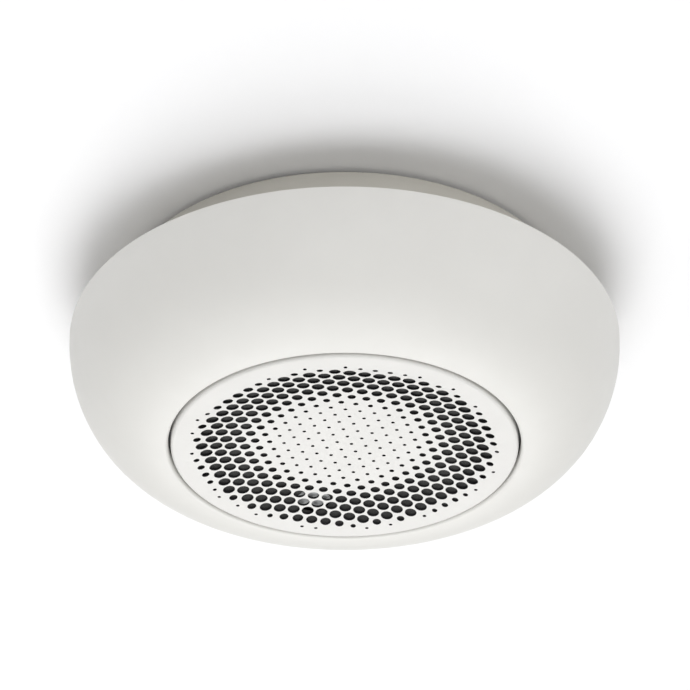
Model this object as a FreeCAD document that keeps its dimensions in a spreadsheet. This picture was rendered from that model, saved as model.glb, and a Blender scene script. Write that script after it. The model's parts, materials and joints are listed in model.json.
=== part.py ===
"""Battery alarm siren that hangs from a ceiling.

A domed front shell with a dished, perforated speaker grille sits on a narrower
neck.  The neck twists onto a ceiling plate with four bayonet hooks.  Inside are
a loudspeaker on a baffle, a ring-shaped board and four cylindrical cells.

Frame: millimetres, +Z up, origin at the middle of the plate face that meets the
ceiling.  The siren hangs below it, so every height is zero or negative.
"""
import FreeCAD, Part
import math
import os
import re

import Sketcher

DIMENSIONS = {
    # Front shell: a quarter ellipse turned about Z, with an open rim and a lip
    "shell_ellipse_mid": 45.0,
    "shell_half_width": 25.0,
    "shell_half_height": 30.0,
    "shell_ellipse_height": -15.0,
    "shell_rim_height": -14.4,
    "shell_wall": 2.2,
    "shell_opening": 44.1,
    "shell_lip": 0.9,
    # Neck and back panel of the rear housing
    "neck_radius": 57.6,
    "neck_wall": 2.4,
    "neck_top": -0.8,
    "neck_edge": 0.6,
    "panel_top": -5.0,
    "panel_thickness": 2.0,
    "flange_radius": 67.2,
    "flange_top": -17.0,
    "flange_thickness": 2.0,
    # Ceiling plate and its bayonet hooks
    "plate_radius": 54.0,
    "plate_thickness": 1.6,
    "plate_rib_radius": 45.5,
    "plate_rib_width": 1.5,
    "plate_rib_depth": 1.6,
    "slot_spacing": 60.0,
    "slot_length": 12.0,
    "slot_radius": 2.25,
    "hook_inner": 48.5,
    "hook_outer": 50.0,
    "hook_tab": 52.3,
    "hook_tab_top": -7.3,
    "hook_tab_thickness": 1.6,
    "hook_span": 8.0,
    "hook_clearance": 0.3,
    "twist_angle": 18.0,
    # Grille: a dished disc with a turned-up skirt
    "grille_radius": 43.46,
    "grille_rim": -45.26,
    "grille_depth": 2.92,
    "dish_radius": 38.3,
    "dish_turn_radius": 24.0,
    "dish_turn_depth": 2.17,
    "dish_flank_arc": 80.1,
    "grille_sheet": 0.6,
    "grille_edge": 0.86,
    "hole_pitch": 3.693,
    "hole_row_turn": 13.93,
    "hole_shift_along": 0.533,
    "hole_shift_across": 0.235,
    "hole_small": 0.46,
    "hole_large": 1.56,
    "hole_growth_start": 14.8,
    "hole_growth_end": 28.8,
    "hole_fade_start": 35.3,
    "hole_fade_end": 38.6,
    "hole_limit": 39.2,
    # Acoustic cloth behind the grille
    "mesh_radius": 41.0,
    "mesh_thickness": 0.25,
    "mesh_gap": 0.02,
    # Baffle that closes the front and carries the loudspeaker
    "baffle_bottom": -41.6,
    "baffle_thickness": 1.8,
    "baffle_radius": 49.5,
    "baffle_opening": 24.0,
    "spigot_inner": 41.2,
    "spigot_outer": 42.8,
    "spigot_bottom": -43.4,
    "foot_inner": 45.2,
    "foot_outer": 47.5,
    "foot_bottom": -42.5,
    "ear_width": 7.0,
    "ear_inner": 45.0,
    "ear_outer": 56.0,
    "ear_step": 49.0,
    "ear_bottom": -38.2,
    "ear_thickness": 1.6,
    # Status lamp: a lens under the baffle, and a light guide from its outer side to the board
    "lamp_side": -8.1,
    "lamp_forward": 32.0,
    "lens_forward": 28.5,
    "lens_radius": 4.5,
    "lens_face": -42.3,
    "lens_margin": 0.4,
    "guide_radius": 2.5,
    "guide_top": -30.3,
    "lens_clearance": 0.2,
    # Loudspeaker
    "gasket_inner": 24.2,
    "gasket_thickness": 0.8,
    "speaker_radius": 27.3,
    "speaker_flange": 1.2,
    "speaker_mouth": 24.4,
    "speaker_back_radius": 18.3,
    "speaker_back": -28.5,
    "speaker_skin": 1.0,
    "speaker_ear_outer": 33.0,
    "speaker_ear_width": 6.0,
    "speaker_window_depth": 10.0,
    "speaker_window_width": 8.0,
    "speaker_window_height": 4.5,
    "speaker_window_bottom": -36.0,
    "speaker_window_inner": 16.0,
    "terminal_thickness": 0.8,
    "terminal_width": 2.2,
    "terminal_height": 5.0,
    "terminal_inner": 26.6,
    "terminal_side": 2.4,
    "surround_mid": 21.6,
    "surround_roll": 2.0,
    "surround_arc": 2.3,
    "surround_skin": 0.4,
    "surround_edge": 24.3,
    "surround_inner": 19.0,
    "surround_bottom": -38.6,
    "cone_radius": 18.8,
    "cone_neck": 6.9,
    "cone_front": -38.7,
    "cone_back": -32.0,
    "cone_skin": 0.6,
    "cap_radius": 8.0,
    "cap_front": -35.2,
    "cap_edge": -32.9,
    "cap_skin": 0.4,
    "coil_inner": 6.3,
    "coil_outer": 6.8,
    "coil_bottom": -32.4,
    "coil_length": 6.4,
    "pole_radius": 5.9,
    "gap_radius": 7.2,
    "motor_radius": 17.0,
    "magnet_radius": 17.5,
    "magnet_hole": 9.0,
    "top_plate_thickness": 2.0,
    "magnet_thickness": 6.0,
    "yoke_thickness": 2.0,
    # Ring-shaped board
    "board_top": -26.6,
    "board_thickness": 1.6,
    "board_inner": 30.0,
    "board_outer": 62.0,
    "board_notch": 4.4,
    # Parts under the board
    "shield_depth": 16.0,
    "shield_width": 22.0,
    "shield_height": 3.0,
    "shield_inner": 36.0,
    "processor_side": 10.0,
    "processor_inner": 39.0,
    "amplifier_side": 6.0,
    "amplifier_inner": 38.0,
    "chip_height": 1.2,
    "connector_depth": 5.0,
    "connector_width": 8.0,
    "connector_height": 5.5,
    "connector_inner": 38.0,
    "inductor_radius": 5.0,
    "inductor_height": 6.0,
    "inductor_orbit": 44.0,
    "capacitor_radius": 3.15,
    "capacitor_height": 7.5,
    "capacitor_orbit": 46.0,
    "antenna_inner": 54.6,
    "antenna_thickness": 0.6,
    "antenna_height": 5.5,
    "antenna_span": 50.0,
    "lamp_length": 3.5,
    "lamp_width": 2.8,
    "lamp_height": 1.9,
    # Leads from the board to the loudspeaker
    "lead_radius": 0.5,
    "lead_start_side": 1.6,
    "lead_start_forward": -37.9,
    "lead_start_height": -31.0,
    "lead_middle_side": 2.0,
    "lead_middle_forward": -32.5,
    "lead_middle_height": -32.8,
    "lead_end_side": 2.4,
    "lead_end_forward": -27.9,
    "lead_end_height": -36.0,
    # Cells and their bays
    "cell_radius": 8.4,
    "cell_length": 33.5,
    "cell_nub_radius": 3.0,
    "cell_nub_length": 1.0,
    "cell_orbit": 38.0,
    "cell_height": -16.0,
    "bay_length": 38.5,
    "bay_width": 17.4,
    "bay_wall": 1.2,
    "bay_floor": -24.6,
    "contact_thickness": 0.4,
    "contact_width": 10.0,
    "contact_top": -9.5,
    "contact_tail_width": 3.0,
    "contact_gap": 0.2,
    "cell_spring_radius": 3.6,
    "cell_spring_wire": 0.35,
    # Screws and the bosses that take them
    "housing_screw_orbit": 61.0,
    "housing_boss_radius": 3.5,
    "housing_boss_bottom": -33.0,
    "baffle_screw_orbit": 52.5,
    "baffle_boss_radius": 3.0,
    "baffle_boss_bottom": -41.5,
    "speaker_screw_orbit": 30.0,
    "speaker_boss_radius": 2.3,
    "board_screw_orbit": 58.5,
    "board_boss_radius": 3.0,
    "screw_clearance": 0.1,
    "housing_screw_head": 2.6,
    "housing_screw_tall": 1.6,
    "housing_screw_shank": 1.4,
    "housing_screw_length": 10.0,
    "baffle_screw_head": 2.3,
    "baffle_screw_tall": 1.4,
    "baffle_screw_shank": 1.1,
    "baffle_screw_length": 4.0,
    "speaker_screw_head": 2.1,
    "speaker_screw_tall": 1.3,
    "speaker_screw_shank": 1.0,
    "speaker_screw_length": 3.4,
    "board_screw_head": 2.4,
    "board_screw_tall": 1.5,
    "board_screw_shank": 1.2,
    "board_screw_length": 6.5,
    "recess_depth": 0.8,
    "recess_width": 0.5,
    "recess_share": 1.2,
    # Tamper plunger and pairing button, both reached from the back
    "button_orbit": 40.0,
    "tamper_radius": 2.0,
    "tamper_tip": -1.7,
    "tamper_collar_radius": 3.2,
    "tamper_stem_radius": 1.2,
    "tamper_foot": -22.0,
    "button_radius": 3.2,
    "button_top": -4.2,
    "button_collar_radius": 4.4,
    "button_stem_radius": 1.5,
    "button_foot": -23.0,
    "collar_gap": 0.1,
    "collar_thickness": 1.0,
    "guide_clearance": 0.3,
    "switch_side": 6.0,
    "switch_height": 3.0,
    "tamper_spring_radius": 2.2,
    "tamper_spring_wire": 0.25,
}

QUARTERS = (0.0, 90.0, 180.0, 270.0)
DIAGONALS = (45.0, 135.0, 225.0, 315.0)
CAPACITOR_TURNS = (-16.0, -26.0, -36.0)
SHIELD_TURN = 200.0
PROCESSOR_TURN = 235.0
AMPLIFIER_TURN = 300.0
CONNECTOR_TURN = 270.0
INDUCTOR_TURN = 22.0
ANTENNA_TURN = 108.0
CELL_SPRING_TURNS = 3
TAMPER_SPRING_TURNS = 7
RUNS_PER_TURN = 16
SHARP_CORNERS = 1

doc = FreeCAD.newDocument("AlarmSiren")
sheet = doc.addObject("Spreadsheet::Sheet", "Dimensions")
for row, (alias, number) in enumerate(DIMENSIONS.items(), start=1):
    sheet.set(f"A{row}", alias)
    sheet.set(f"B{row}", str(number))
    sheet.setAlias(f"B{row}", alias)
doc.recompute()

nodes = {}


def formula(text):
    """Return text with every named dimension pointed at the spreadsheet."""
    def point(match):
        word = match.group(0)
        return f"Dimensions.{word}" if word in DIMENSIONS else word
    return re.sub(r"[a-z][a-z_]*", point, str(text))


def size(text):
    """Return the number that a formula of named dimensions comes to."""
    return float(sheet.evalExpression(formula(text)))


def bind(thing, name, text):
    """Tie one property of an object to a formula of named dimensions."""
    thing.setExpression(name, formula(text))


def keep(label, thing):
    """Name a finished sub-part and put it on the list of nodes."""
    thing.Label = label
    nodes[label] = thing
    return thing


def place(thing, radial, tangential, height, turn=0.0):
    """Place an object at a radial and sideways distance, turned about Z."""
    spin = FreeCAD.Rotation(FreeCAD.Vector(0, 0, 1), turn)
    thing.Placement = FreeCAD.Placement(FreeCAD.Vector(0, 0, 0), spin)
    cosine = round(math.cos(math.radians(turn)), 12)
    sine = round(math.sin(math.radians(turn)), 12)
    bind(thing, "Placement.Base.x", f"({radial}) * ({cosine}) - ({tangential}) * ({sine})")
    bind(thing, "Placement.Base.y", f"({radial}) * ({sine}) + ({tangential}) * ({cosine})")
    bind(thing, "Placement.Base.z", height)
    return thing


def cylinder(name, radius, height, bottom, radial="0", tangential="0", turn=0.0):
    """Make an upright cylinder from its bottom height."""
    made = doc.addObject("Part::Cylinder", name)
    bind(made, "Radius", radius)
    bind(made, "Height", height)
    return place(made, radial, tangential, bottom, turn)


def block(name, depth, width, height, bottom, radial, tangential="0", turn=0.0):
    """Make a box from its inner radial face, centred on its sideways place."""
    made = doc.addObject("Part::Box", name)
    bind(made, "Length", depth)
    bind(made, "Width", width)
    bind(made, "Height", height)
    return place(made, radial, f"({tangential}) - ({width}) / 2", bottom, turn)


def sector(name, inner, outer, height, bottom, start, span):
    """Make part of a ring that starts at an angle and spans another."""
    rim = doc.addObject("Part::Cylinder", f"{name}_rim")
    bind(rim, "Radius", outer)
    bind(rim, "Height", height)
    bind(rim, "Angle", span)
    place(rim, "0", "0", bottom, start)
    core = cylinder(f"{name}_core", inner, f"({height}) + 2", f"({bottom}) - 1")
    return cut(name, rim, [core])


def fuse(name, pieces):
    """Join pieces into one solid."""
    made = doc.addObject("Part::MultiFuse", name)
    made.Shapes = pieces
    return made


def group(name, pieces):
    """Keep separate solids together in one object."""
    made = doc.addObject("Part::Compound", name)
    made.Links = pieces
    return made


def cut(name, base, tools):
    """Take the tools away from a base."""
    made = doc.addObject("Part::Cut", name)
    made.Base = base
    made.Tool = tools[0] if len(tools) == 1 else group(f"{name}_tools", tools)
    return made


def origin_plane(body, role):
    """Return one of a body's own origin planes."""
    return next(item for item in body.Origin.OriginFeatures if item.Role == role)


def arc_between(start, end, radius, side):
    """Return the arc of a radius between two points; side +1 is left of the chord."""
    middle = (start + end) * 0.5
    chord = end - start
    reach = math.sqrt(max(radius ** 2 - (chord.Length / 2) ** 2, 0.0))
    across = FreeCAD.Vector(-chord.y, chord.x, 0)
    across.normalize()
    centre = middle + across * (reach * side)
    first = math.atan2(start.y - centre.y, start.x - centre.x)
    last = math.atan2(end.y - centre.y, end.x - centre.x)
    circle = Part.Circle(centre, FreeCAD.Vector(0, 0, 1), radius)
    if side > 0:
        return Part.ArcOfCircle(circle, first, last), 1, 2
    return Part.ArcOfCircle(circle, last, first), 2, 1


def turned(name, outline):
    """Turn a closed outline of (radius, height) corners about Z in a body.

    A corner may carry a third and fourth item: the radius of the arc that
    leads from it to the next corner, and the side that its centre is on.
    """
    body = doc.addObject("PartDesign::Body", name)
    sketch = body.newObject("Sketcher::SketchObject", f"{name}_outline")
    sketch.AttachmentSupport = [(origin_plane(body, "XZ_Plane"), "")]
    sketch.MapMode = "FlatFace"
    corners = [FreeCAD.Vector(size(c[0]), size(c[1]), 0) for c in outline]
    ends = []
    for index, corner in enumerate(outline):
        start, end = corners[index], corners[(index + 1) % len(corners)]
        if len(corner) == 2:
            edge = sketch.addGeometry(Part.LineSegment(start, end), False)
            ends.append((edge, 1, 2))
            continue
        arc, first, last = arc_between(start, end, size(corner[2]), corner[3])
        edge = sketch.addGeometry(arc, False)
        ends.append((edge, first, last))
    for index, (edge, first, _last) in enumerate(ends):
        before, _first, before_end = ends[index - 1]
        sketch.addConstraint(Sketcher.Constraint("Coincident", before, before_end, edge, first))
    for corner, (edge, first, _last), point in zip(outline, ends, corners):
        lock_point(sketch, edge, first, corner, point)
        if len(corner) == 4:
            radius = Sketcher.Constraint("Radius", edge, size(corner[2]))
            number = sketch.addConstraint(radius)
            bind(sketch, f"Constraints[{number}]", corner[2])
    return revolve(body, sketch, name)


def lock_point(sketch, edge, end, corner, point):
    """Tie one sketch point to the formulas of its radius and height."""
    if str(corner[0]) == "0":
        sketch.addConstraint(Sketcher.Constraint("PointOnObject", edge, end, -2))
    else:
        across = Sketcher.Constraint("DistanceX", -1, 1, edge, end, point.x)
        number = sketch.addConstraint(across)
        bind(sketch, f"Constraints[{number}]", corner[0])
    upward = Sketcher.Constraint("DistanceY", -1, 1, edge, end, point.y)
    number = sketch.addConstraint(upward)
    bind(sketch, f"Constraints[{number}]", corner[1])


def revolve(body, sketch, name):
    """Turn a sketch right round the vertical axis of its own plane."""
    turn = body.newObject("PartDesign::Revolution", f"{name}_turn")
    turn.Profile = sketch
    turn.ReferenceAxis = (sketch, ["V_Axis"])
    turn.Angle = 360.0
    sketch.Visibility = False
    body.Tip = turn
    return body


def ellipse_arc(sketch, half_width, half_height):
    """Draw the lower right quarter of the shell's ellipse and tie it down."""
    middle = FreeCAD.Vector(size("shell_ellipse_mid"), size("shell_ellipse_height"), 0)
    low = middle - FreeCAD.Vector(0, size(half_height), 0)
    right = middle + FreeCAD.Vector(size(half_width), 0, 0)
    ellipse = Part.Ellipse(low, right, middle)
    edge = sketch.addGeometry(Part.ArcOfEllipse(ellipse, 0.0, math.pi / 2), False)
    before = sketch.GeometryCount
    sketch.exposeInternalGeometry(edge)
    upright, level = before, before + 1
    lock_point(sketch, edge, 3, ("shell_ellipse_mid", "shell_ellipse_height"), middle)
    sketch.addConstraint(Sketcher.Constraint("Vertical", upright))
    for line, half in ((upright, half_height), (level, half_width)):
        number = sketch.addConstraint(Sketcher.Constraint("Distance", line, 2 * size(half)))
        bind(sketch, f"Constraints[{number}]", f"2 * ({half})")
    return edge


def screw(name, kind, seat, turn, up):
    """Make one pan-head screw; up is +1 when the head lies above its seat."""
    head, tall, orbit = f"{kind}_screw_head", f"{kind}_screw_tall", f"{kind}_screw_orbit"
    shank, length = f"{kind}_screw_shank", f"{kind}_screw_length"
    head_bottom = seat if up > 0 else f"({seat}) - {tall}"
    shank_bottom = f"({seat}) - {length}" if up > 0 else seat
    crown = f"({seat}) + {tall} - recess_depth" if up > 0 else f"({seat}) - {tall} - recess_depth"
    blank = fuse(f"{name}_blank", [
        cylinder(f"{name}_head", head, tall, head_bottom, orbit, "0", turn),
        cylinder(f"{name}_shank", shank, length, shank_bottom, orbit, "0", turn),
    ])
    arm = f"{head} * recess_share"
    slots = []
    for index, (long, wide) in enumerate(((arm, "recess_width"), ("recess_width", arm))):
        slots.append(block(f"{name}_slot_{index}", long, wide, "2 * recess_depth", crown,
                           f"({orbit}) - ({long}) / 2", "0", turn))
    return cut(name, blank, slots)


def screw_set(kind, seat, turns, up):
    """Make identical screws in a ring, kept as separate solids of one node."""
    label = f"{kind}_screws"
    made = [screw(f"{label}_{index}", kind, seat, turn, up) for index, turn in enumerate(turns, start=1)]
    return keep(label, group(label, made))


def holes(name, radius, depth, bottom, orbit, turns):
    """Make the tools for a ring of holes."""
    return [cylinder(f"{name}_{index}", radius, depth, bottom, orbit, "0", turn)
            for index, turn in enumerate(turns, start=1)]


def coil(radius, wire, length, turns):
    """Return a round-wire spring on Z = 0, bent from short straight runs."""
    count = turns * RUNS_PER_TURN
    points = []
    for index in range(count + 1):
        angle = 2 * math.pi * index / RUNS_PER_TURN
        height = wire + (length - 2 * wire) * index / count
        points.append(FreeCAD.Vector(radius * math.cos(angle), radius * math.sin(angle), height))
    path = Part.makePolygon(points)
    section = Part.Wire(Part.makeCircle(wire, points[0], points[1] - points[0]))
    return path.makePipeShell([section], True, False, SHARP_CORNERS)


def shaped(label, shape, placement=None):
    """Hold a shape that no parametric feature describes in an object."""
    made = doc.addObject("Part::Feature", label)
    made.Shape = shape
    if placement is not None:
        made.Placement = placement
    return made


# ---------------------------------------------------------------- ceiling plate
def make_ceiling_plate():
    """Flat disc with screw slots, a stiffening rib and four bayonet hooks."""
    disc = cylinder("plate_disc", "plate_radius", "plate_thickness", "-plate_thickness")
    rib_outer = cylinder("plate_rib_outer", "plate_rib_radius + plate_rib_width",
                         "plate_rib_depth", "-plate_thickness - plate_rib_depth")
    rib_core = cylinder("plate_rib_core", "plate_rib_radius", "plate_rib_depth + 2",
                        "-plate_thickness - plate_rib_depth - 2")
    solids = [disc, cut("plate_rib", rib_outer, [rib_core])]
    drop = "-hook_tab_top - plate_thickness + hook_tab_thickness"
    for index, turn in enumerate(QUARTERS, start=1):
        start = turn - size("twist_angle / 2 + hook_span / 2")
        solids.append(sector(f"hook_{index}_stem", "hook_inner", "hook_outer", drop,
                             "hook_tab_top - hook_tab_thickness", start, "hook_span"))
        solids.append(sector(f"hook_{index}_tab", "hook_inner", "hook_tab", "hook_tab_thickness",
                             "hook_tab_top - hook_tab_thickness", start, "hook_span"))
    tools = []
    for index, side in enumerate((1, -1), start=1):
        middle = f"{side} * slot_spacing / 2"
        half = "slot_length / 2 - slot_radius"
        tools.append(block(f"slot_{index}_middle", f"2 * ({half})", "2 * slot_radius", "4",
                           "-3", f"({middle}) - ({half})"))
        for tip, way in enumerate((1, -1), start=1):
            tools.append(cylinder(f"slot_{index}_end_{tip}", "slot_radius", "4", "-3",
                                  f"({middle}) + {way} * ({half})"))
        tools.append(cylinder(f"round_hole_{index}", "slot_radius", "4", "-3", "0", middle))
    keep("ceiling_plate", cut("ceiling_plate", fuse("plate_blank", solids), tools))


# ----------------------------------------------------------------- rear housing
def make_rear_housing():
    """Neck with a back panel, a hidden flange, four cell bays and board bosses."""
    inner = "neck_radius - neck_wall"
    panel_bottom = "panel_top - panel_thickness"
    flange_bottom = "flange_top - flange_thickness"
    neck = turned("neck", [
        ("0", "panel_top"),
        (inner, "panel_top"),
        (inner, "neck_top"),
        ("neck_radius - neck_edge", "neck_top"),
        ("neck_radius", "neck_top - neck_edge"),
        ("neck_radius", "flange_top"),
        ("flange_radius", "flange_top"),
        ("flange_radius", flange_bottom),
        (inner, flange_bottom),
        (inner, panel_bottom),
        ("0", panel_bottom),
    ])
    solids = [neck]
    tools = []
    bay_inner = "cell_orbit - bay_width / 2"
    bay_bottom = "bay_floor - bay_wall"
    for index, turn in enumerate(DIAGONALS, start=1):
        solids.append(block(f"bay_{index}", "bay_width + 2 * bay_wall", "bay_length + 2 * bay_wall",
                            f"({panel_bottom}) - ({bay_bottom})", bay_bottom,
                            f"{bay_inner} - bay_wall", "0", turn))
        solids.append(cylinder(f"board_boss_{index}", "board_boss_radius",
                               f"({flange_bottom}) - board_top", "board_top",
                               "board_screw_orbit", "0", turn))
        tools.append(block(f"bay_space_{index}", "bay_width", "bay_length",
                           "panel_top + 1 - bay_floor", "bay_floor", bay_inner, "0", turn))
        for end, side in enumerate((1, -1), start=1):
            place_across = f"{side} * (bay_length / 2 - contact_thickness)"
            tools.append(block(f"tail_slot_{index}_{end}", "contact_tail_width + 2 * contact_gap",
                               "2 * contact_thickness", "bay_wall + 2", "bay_floor - bay_wall - 1",
                               "cell_orbit - contact_tail_width / 2 - contact_gap", place_across,
                               turn))
    reach = "hook_clearance"
    depth = "panel_thickness + 2"
    lower = f"({panel_bottom}) - 1"
    for index, turn in enumerate(QUARTERS, start=1):
        sweep = "twist_angle + hook_span + 1.2"
        start = turn - size(f"({sweep}) / 2")
        tools.append(sector(f"hook_slot_{index}", f"hook_inner - {reach}", f"hook_outer + {reach}",
                            depth, lower, start, sweep))
        entry_start = turn + size("twist_angle / 2 - hook_span / 2 - 0.6")
        tools.append(sector(f"hook_entry_{index}", f"hook_inner - {reach}", f"hook_tab + {reach} + 0.1",
                            depth, lower, entry_start, "hook_span + 1.2"))
    tools += holes("flange_hole", "housing_screw_shank + guide_clearance", "flange_thickness + 2",
                   f"({flange_bottom}) - 1", "housing_screw_orbit", QUARTERS)
    tools += holes("board_pilot", "board_screw_shank + screw_clearance", "board_screw_length + 0.5",
                   "board_top - 1", "board_screw_orbit", DIAGONALS)
    tools.append(cylinder("tamper_hole", "tamper_radius + guide_clearance", depth, lower,
                          "button_orbit"))
    tools.append(cylinder("button_hole", "button_radius + guide_clearance", depth, lower,
                          "-button_orbit"))
    keep("rear_housing", cut("rear_housing", fuse("rear_blank", solids), tools))


# ------------------------------------------------------------------ front shell
def make_front_shell():
    """Domed shell: outer and inner quarter ellipses, a rim and a rounded lip."""
    body = doc.addObject("PartDesign::Body", "shell")
    sketch = body.newObject("Sketcher::SketchObject", "shell_outline")
    sketch.AttachmentSupport = [(origin_plane(body, "XZ_Plane"), "")]
    sketch.MapMode = "FlatFace"
    outer = ellipse_arc(sketch, "shell_half_width", "shell_half_height")
    inner = ellipse_arc(sketch, "shell_half_width - shell_wall", "shell_half_height - shell_wall")
    outer_low = "shell_ellipse_height - shell_half_height"
    inner_low = "shell_ellipse_height - shell_half_height + shell_wall"
    outer_side = "shell_ellipse_mid + shell_half_width"
    inner_side = "shell_ellipse_mid + shell_half_width - shell_wall"
    corners = [
        ("shell_ellipse_mid", outer_low),
        ("shell_opening", f"{outer_low} + shell_lip"),
        ("shell_opening", inner_low),
        ("shell_ellipse_mid", inner_low),
        (inner_side, "shell_ellipse_height"),
        (inner_side, "shell_rim_height"),
        (outer_side, "shell_rim_height"),
        (outer_side, "shell_ellipse_height"),
    ]
    spots = [FreeCAD.Vector(size(x), size(y), 0) for x, y in corners]
    lip_circle = Part.Circle(FreeCAD.Vector(spots[0].x, spots[1].y, 0), FreeCAD.Vector(0, 0, 1),
                             size("shell_lip"))
    lip = sketch.addGeometry(Part.ArcOfCircle(lip_circle, math.pi, 1.5 * math.pi), False)
    edge = sketch.addGeometry(Part.LineSegment(spots[1], spots[2]), False)
    ledge = sketch.addGeometry(Part.LineSegment(spots[2], spots[3]), False)
    inside = sketch.addGeometry(Part.LineSegment(spots[4], spots[5]), False)
    rim = sketch.addGeometry(Part.LineSegment(spots[5], spots[6]), False)
    outside = sketch.addGeometry(Part.LineSegment(spots[6], spots[7]), False)
    for joint in ((outer, 1, lip, 2), (lip, 1, edge, 1), (edge, 2, ledge, 1), (ledge, 2, inner, 1),
                  (inner, 2, inside, 1), (inside, 2, rim, 1), (rim, 2, outside, 1),
                  (outside, 2, outer, 2)):
        sketch.addConstraint(Sketcher.Constraint("Coincident", *joint))
    for line in (edge, inside, outside):
        sketch.addConstraint(Sketcher.Constraint("Vertical", line))
    for line in (ledge, rim):
        sketch.addConstraint(Sketcher.Constraint("Horizontal", line))
    for name, line, end, text in (("DistanceX", outer, 1, "shell_ellipse_mid"),
                                  ("DistanceY", outer, 2, "shell_ellipse_height"),
                                  ("DistanceX", inner, 1, "shell_ellipse_mid"),
                                  ("DistanceY", inner, 2, "shell_ellipse_height"),
                                  ("DistanceX", edge, 1, "shell_opening"),
                                  ("DistanceY", edge, 1, f"{outer_low} + shell_lip"),
                                  ("DistanceY", rim, 1, "shell_rim_height")):
        number = sketch.addConstraint(Sketcher.Constraint(name, -1, 1, line, end, size(text)))
        bind(sketch, f"Constraints[{number}]", text)
    number = sketch.addConstraint(Sketcher.Constraint("Radius", lip, size("shell_lip")))
    bind(sketch, f"Constraints[{number}]", "shell_lip")
    revolve(body, sketch, "shell")
    flange_bottom = "flange_top - flange_thickness"
    housing_bosses = holes("housing_boss", "housing_boss_radius",
                           f"({flange_bottom}) - housing_boss_bottom", "housing_boss_bottom",
                           "housing_screw_orbit", QUARTERS)
    baffle_bosses = holes("baffle_boss", "baffle_boss_radius", "ear_bottom - baffle_boss_bottom",
                          "baffle_boss_bottom", "baffle_screw_orbit", DIAGONALS)
    tools = holes("housing_pilot", "housing_screw_shank + screw_clearance",
                  "housing_screw_length + 1", f"({flange_bottom}) - housing_screw_length",
                  "housing_screw_orbit", QUARTERS)
    tools += holes("baffle_pilot", "baffle_screw_shank + screw_clearance", "baffle_screw_length",
                   "ear_bottom + 1 - baffle_screw_length", "baffle_screw_orbit", DIAGONALS)
    blank = fuse("shell_blank", [body] + housing_bosses + baffle_bosses)
    keep("front_shell", cut("front_shell", blank, tools))


# ----------------------------------------------------------------------- grille
def smooth_step(value, start, end):
    """Return a smooth rise from 0 at start to 1 at end."""
    share = min(max((value - start) / (end - start), 0.0), 1.0)
    return share * share * (3 - 2 * share)


def hole_radius(distance):
    """Return the radius of a grille hole at a distance from the middle."""
    small, large = size("hole_small"), size("hole_large")
    growth = smooth_step(distance, size("hole_growth_start"), size("hole_growth_end"))
    fade = smooth_step(distance, size("hole_fade_start"), size("hole_fade_end"))
    return small + (large - small) * growth * (1 - fade)


def hole_places():
    """Yield the place of every grille hole on its triangular grid."""
    pitch, limit = size("hole_pitch"), size("hole_limit")
    shift_along, shift_across = size("hole_shift_along"), size("hole_shift_across")
    turn = math.radians(size("hole_row_turn"))
    rows = int(limit / pitch) + 4
    for row in range(-rows, rows + 1):
        for column in range(-rows, rows + 1):
            along = (column + row / 2 + shift_along) * pitch
            across = (row + shift_across) * pitch * math.sqrt(3) / 2
            x = along * math.cos(turn) - across * math.sin(turn)
            y = along * math.sin(turn) + across * math.cos(turn)
            if math.hypot(x, y) <= limit:
                yield x, y


def middle_arc():
    """Return the formula of the radius of the dish's flatter middle."""
    sag = "(grille_depth - dish_turn_depth)"
    return f"(dish_turn_radius * dish_turn_radius + {sag} * {sag}) / (2 * {sag})"


def dish_outwards(lift):
    """Return the dish's section from the middle outwards, raised by a lift."""
    return [
        ("0", f"grille_rim + grille_depth + {lift}", middle_arc(), -1),
        ("dish_turn_radius", f"grille_rim + dish_turn_depth + {lift}", "dish_flank_arc", -1),
        ("dish_radius", f"grille_rim + {lift}"),
    ]


def dish_inwards(lift):
    """Return the dish's section from its border to the middle, raised by a lift."""
    return [
        ("dish_radius", f"grille_rim + {lift}", "dish_flank_arc", 1),
        ("dish_turn_radius", f"grille_rim + dish_turn_depth + {lift}", middle_arc(), 1),
        ("0", f"grille_rim + grille_depth + {lift}"),
    ]


def make_grille():
    """Dished disc with a skirt, pierced by holes that grow towards the edge."""
    low = "grille_rim"
    knee = "grille_radius - grille_edge"
    skirt_low = "grille_rim + grille_edge"
    blank = turned("grille_blank", dish_outwards("0") + [
        (knee, low, "grille_edge", 1),
        ("grille_radius", skirt_low),
        ("grille_radius", "baffle_bottom"),
        ("grille_radius - grille_sheet", "baffle_bottom"),
        ("grille_radius - grille_sheet", skirt_low, "grille_edge - grille_sheet", -1),
        (knee, f"{low} + grille_sheet"),
    ] + dish_inwards("grille_sheet"))
    bottom = size(low) - 1
    height = size("grille_depth + grille_sheet") + 2
    pins = []
    for x, y in hole_places():
        radius = hole_radius(math.hypot(x, y))
        pins.append(Part.makeCylinder(radius, height, FreeCAD.Vector(x, y, bottom)))
    punches = shaped("grille_punches", Part.makeCompound(pins))
    keep("grille", cut("grille", blank, [punches]))


def make_acoustic_mesh():
    """Thin cloth that follows the grille's back, cut away round the lamp."""
    lift = "grille_sheet + mesh_gap"
    top = f"{lift} + mesh_thickness"
    cloth = turned("cloth", dish_outwards(lift) + [
        ("mesh_radius", f"grille_rim + {lift}"),
        ("mesh_radius", f"grille_rim + {top}"),
    ] + dish_inwards(top))
    window = cylinder("cloth_window", "lens_radius + lens_margin", "6", "-46", "lamp_side",
                      "lens_forward")
    keep("acoustic_mesh", cut("acoustic_mesh", cloth, [window]))


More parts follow.
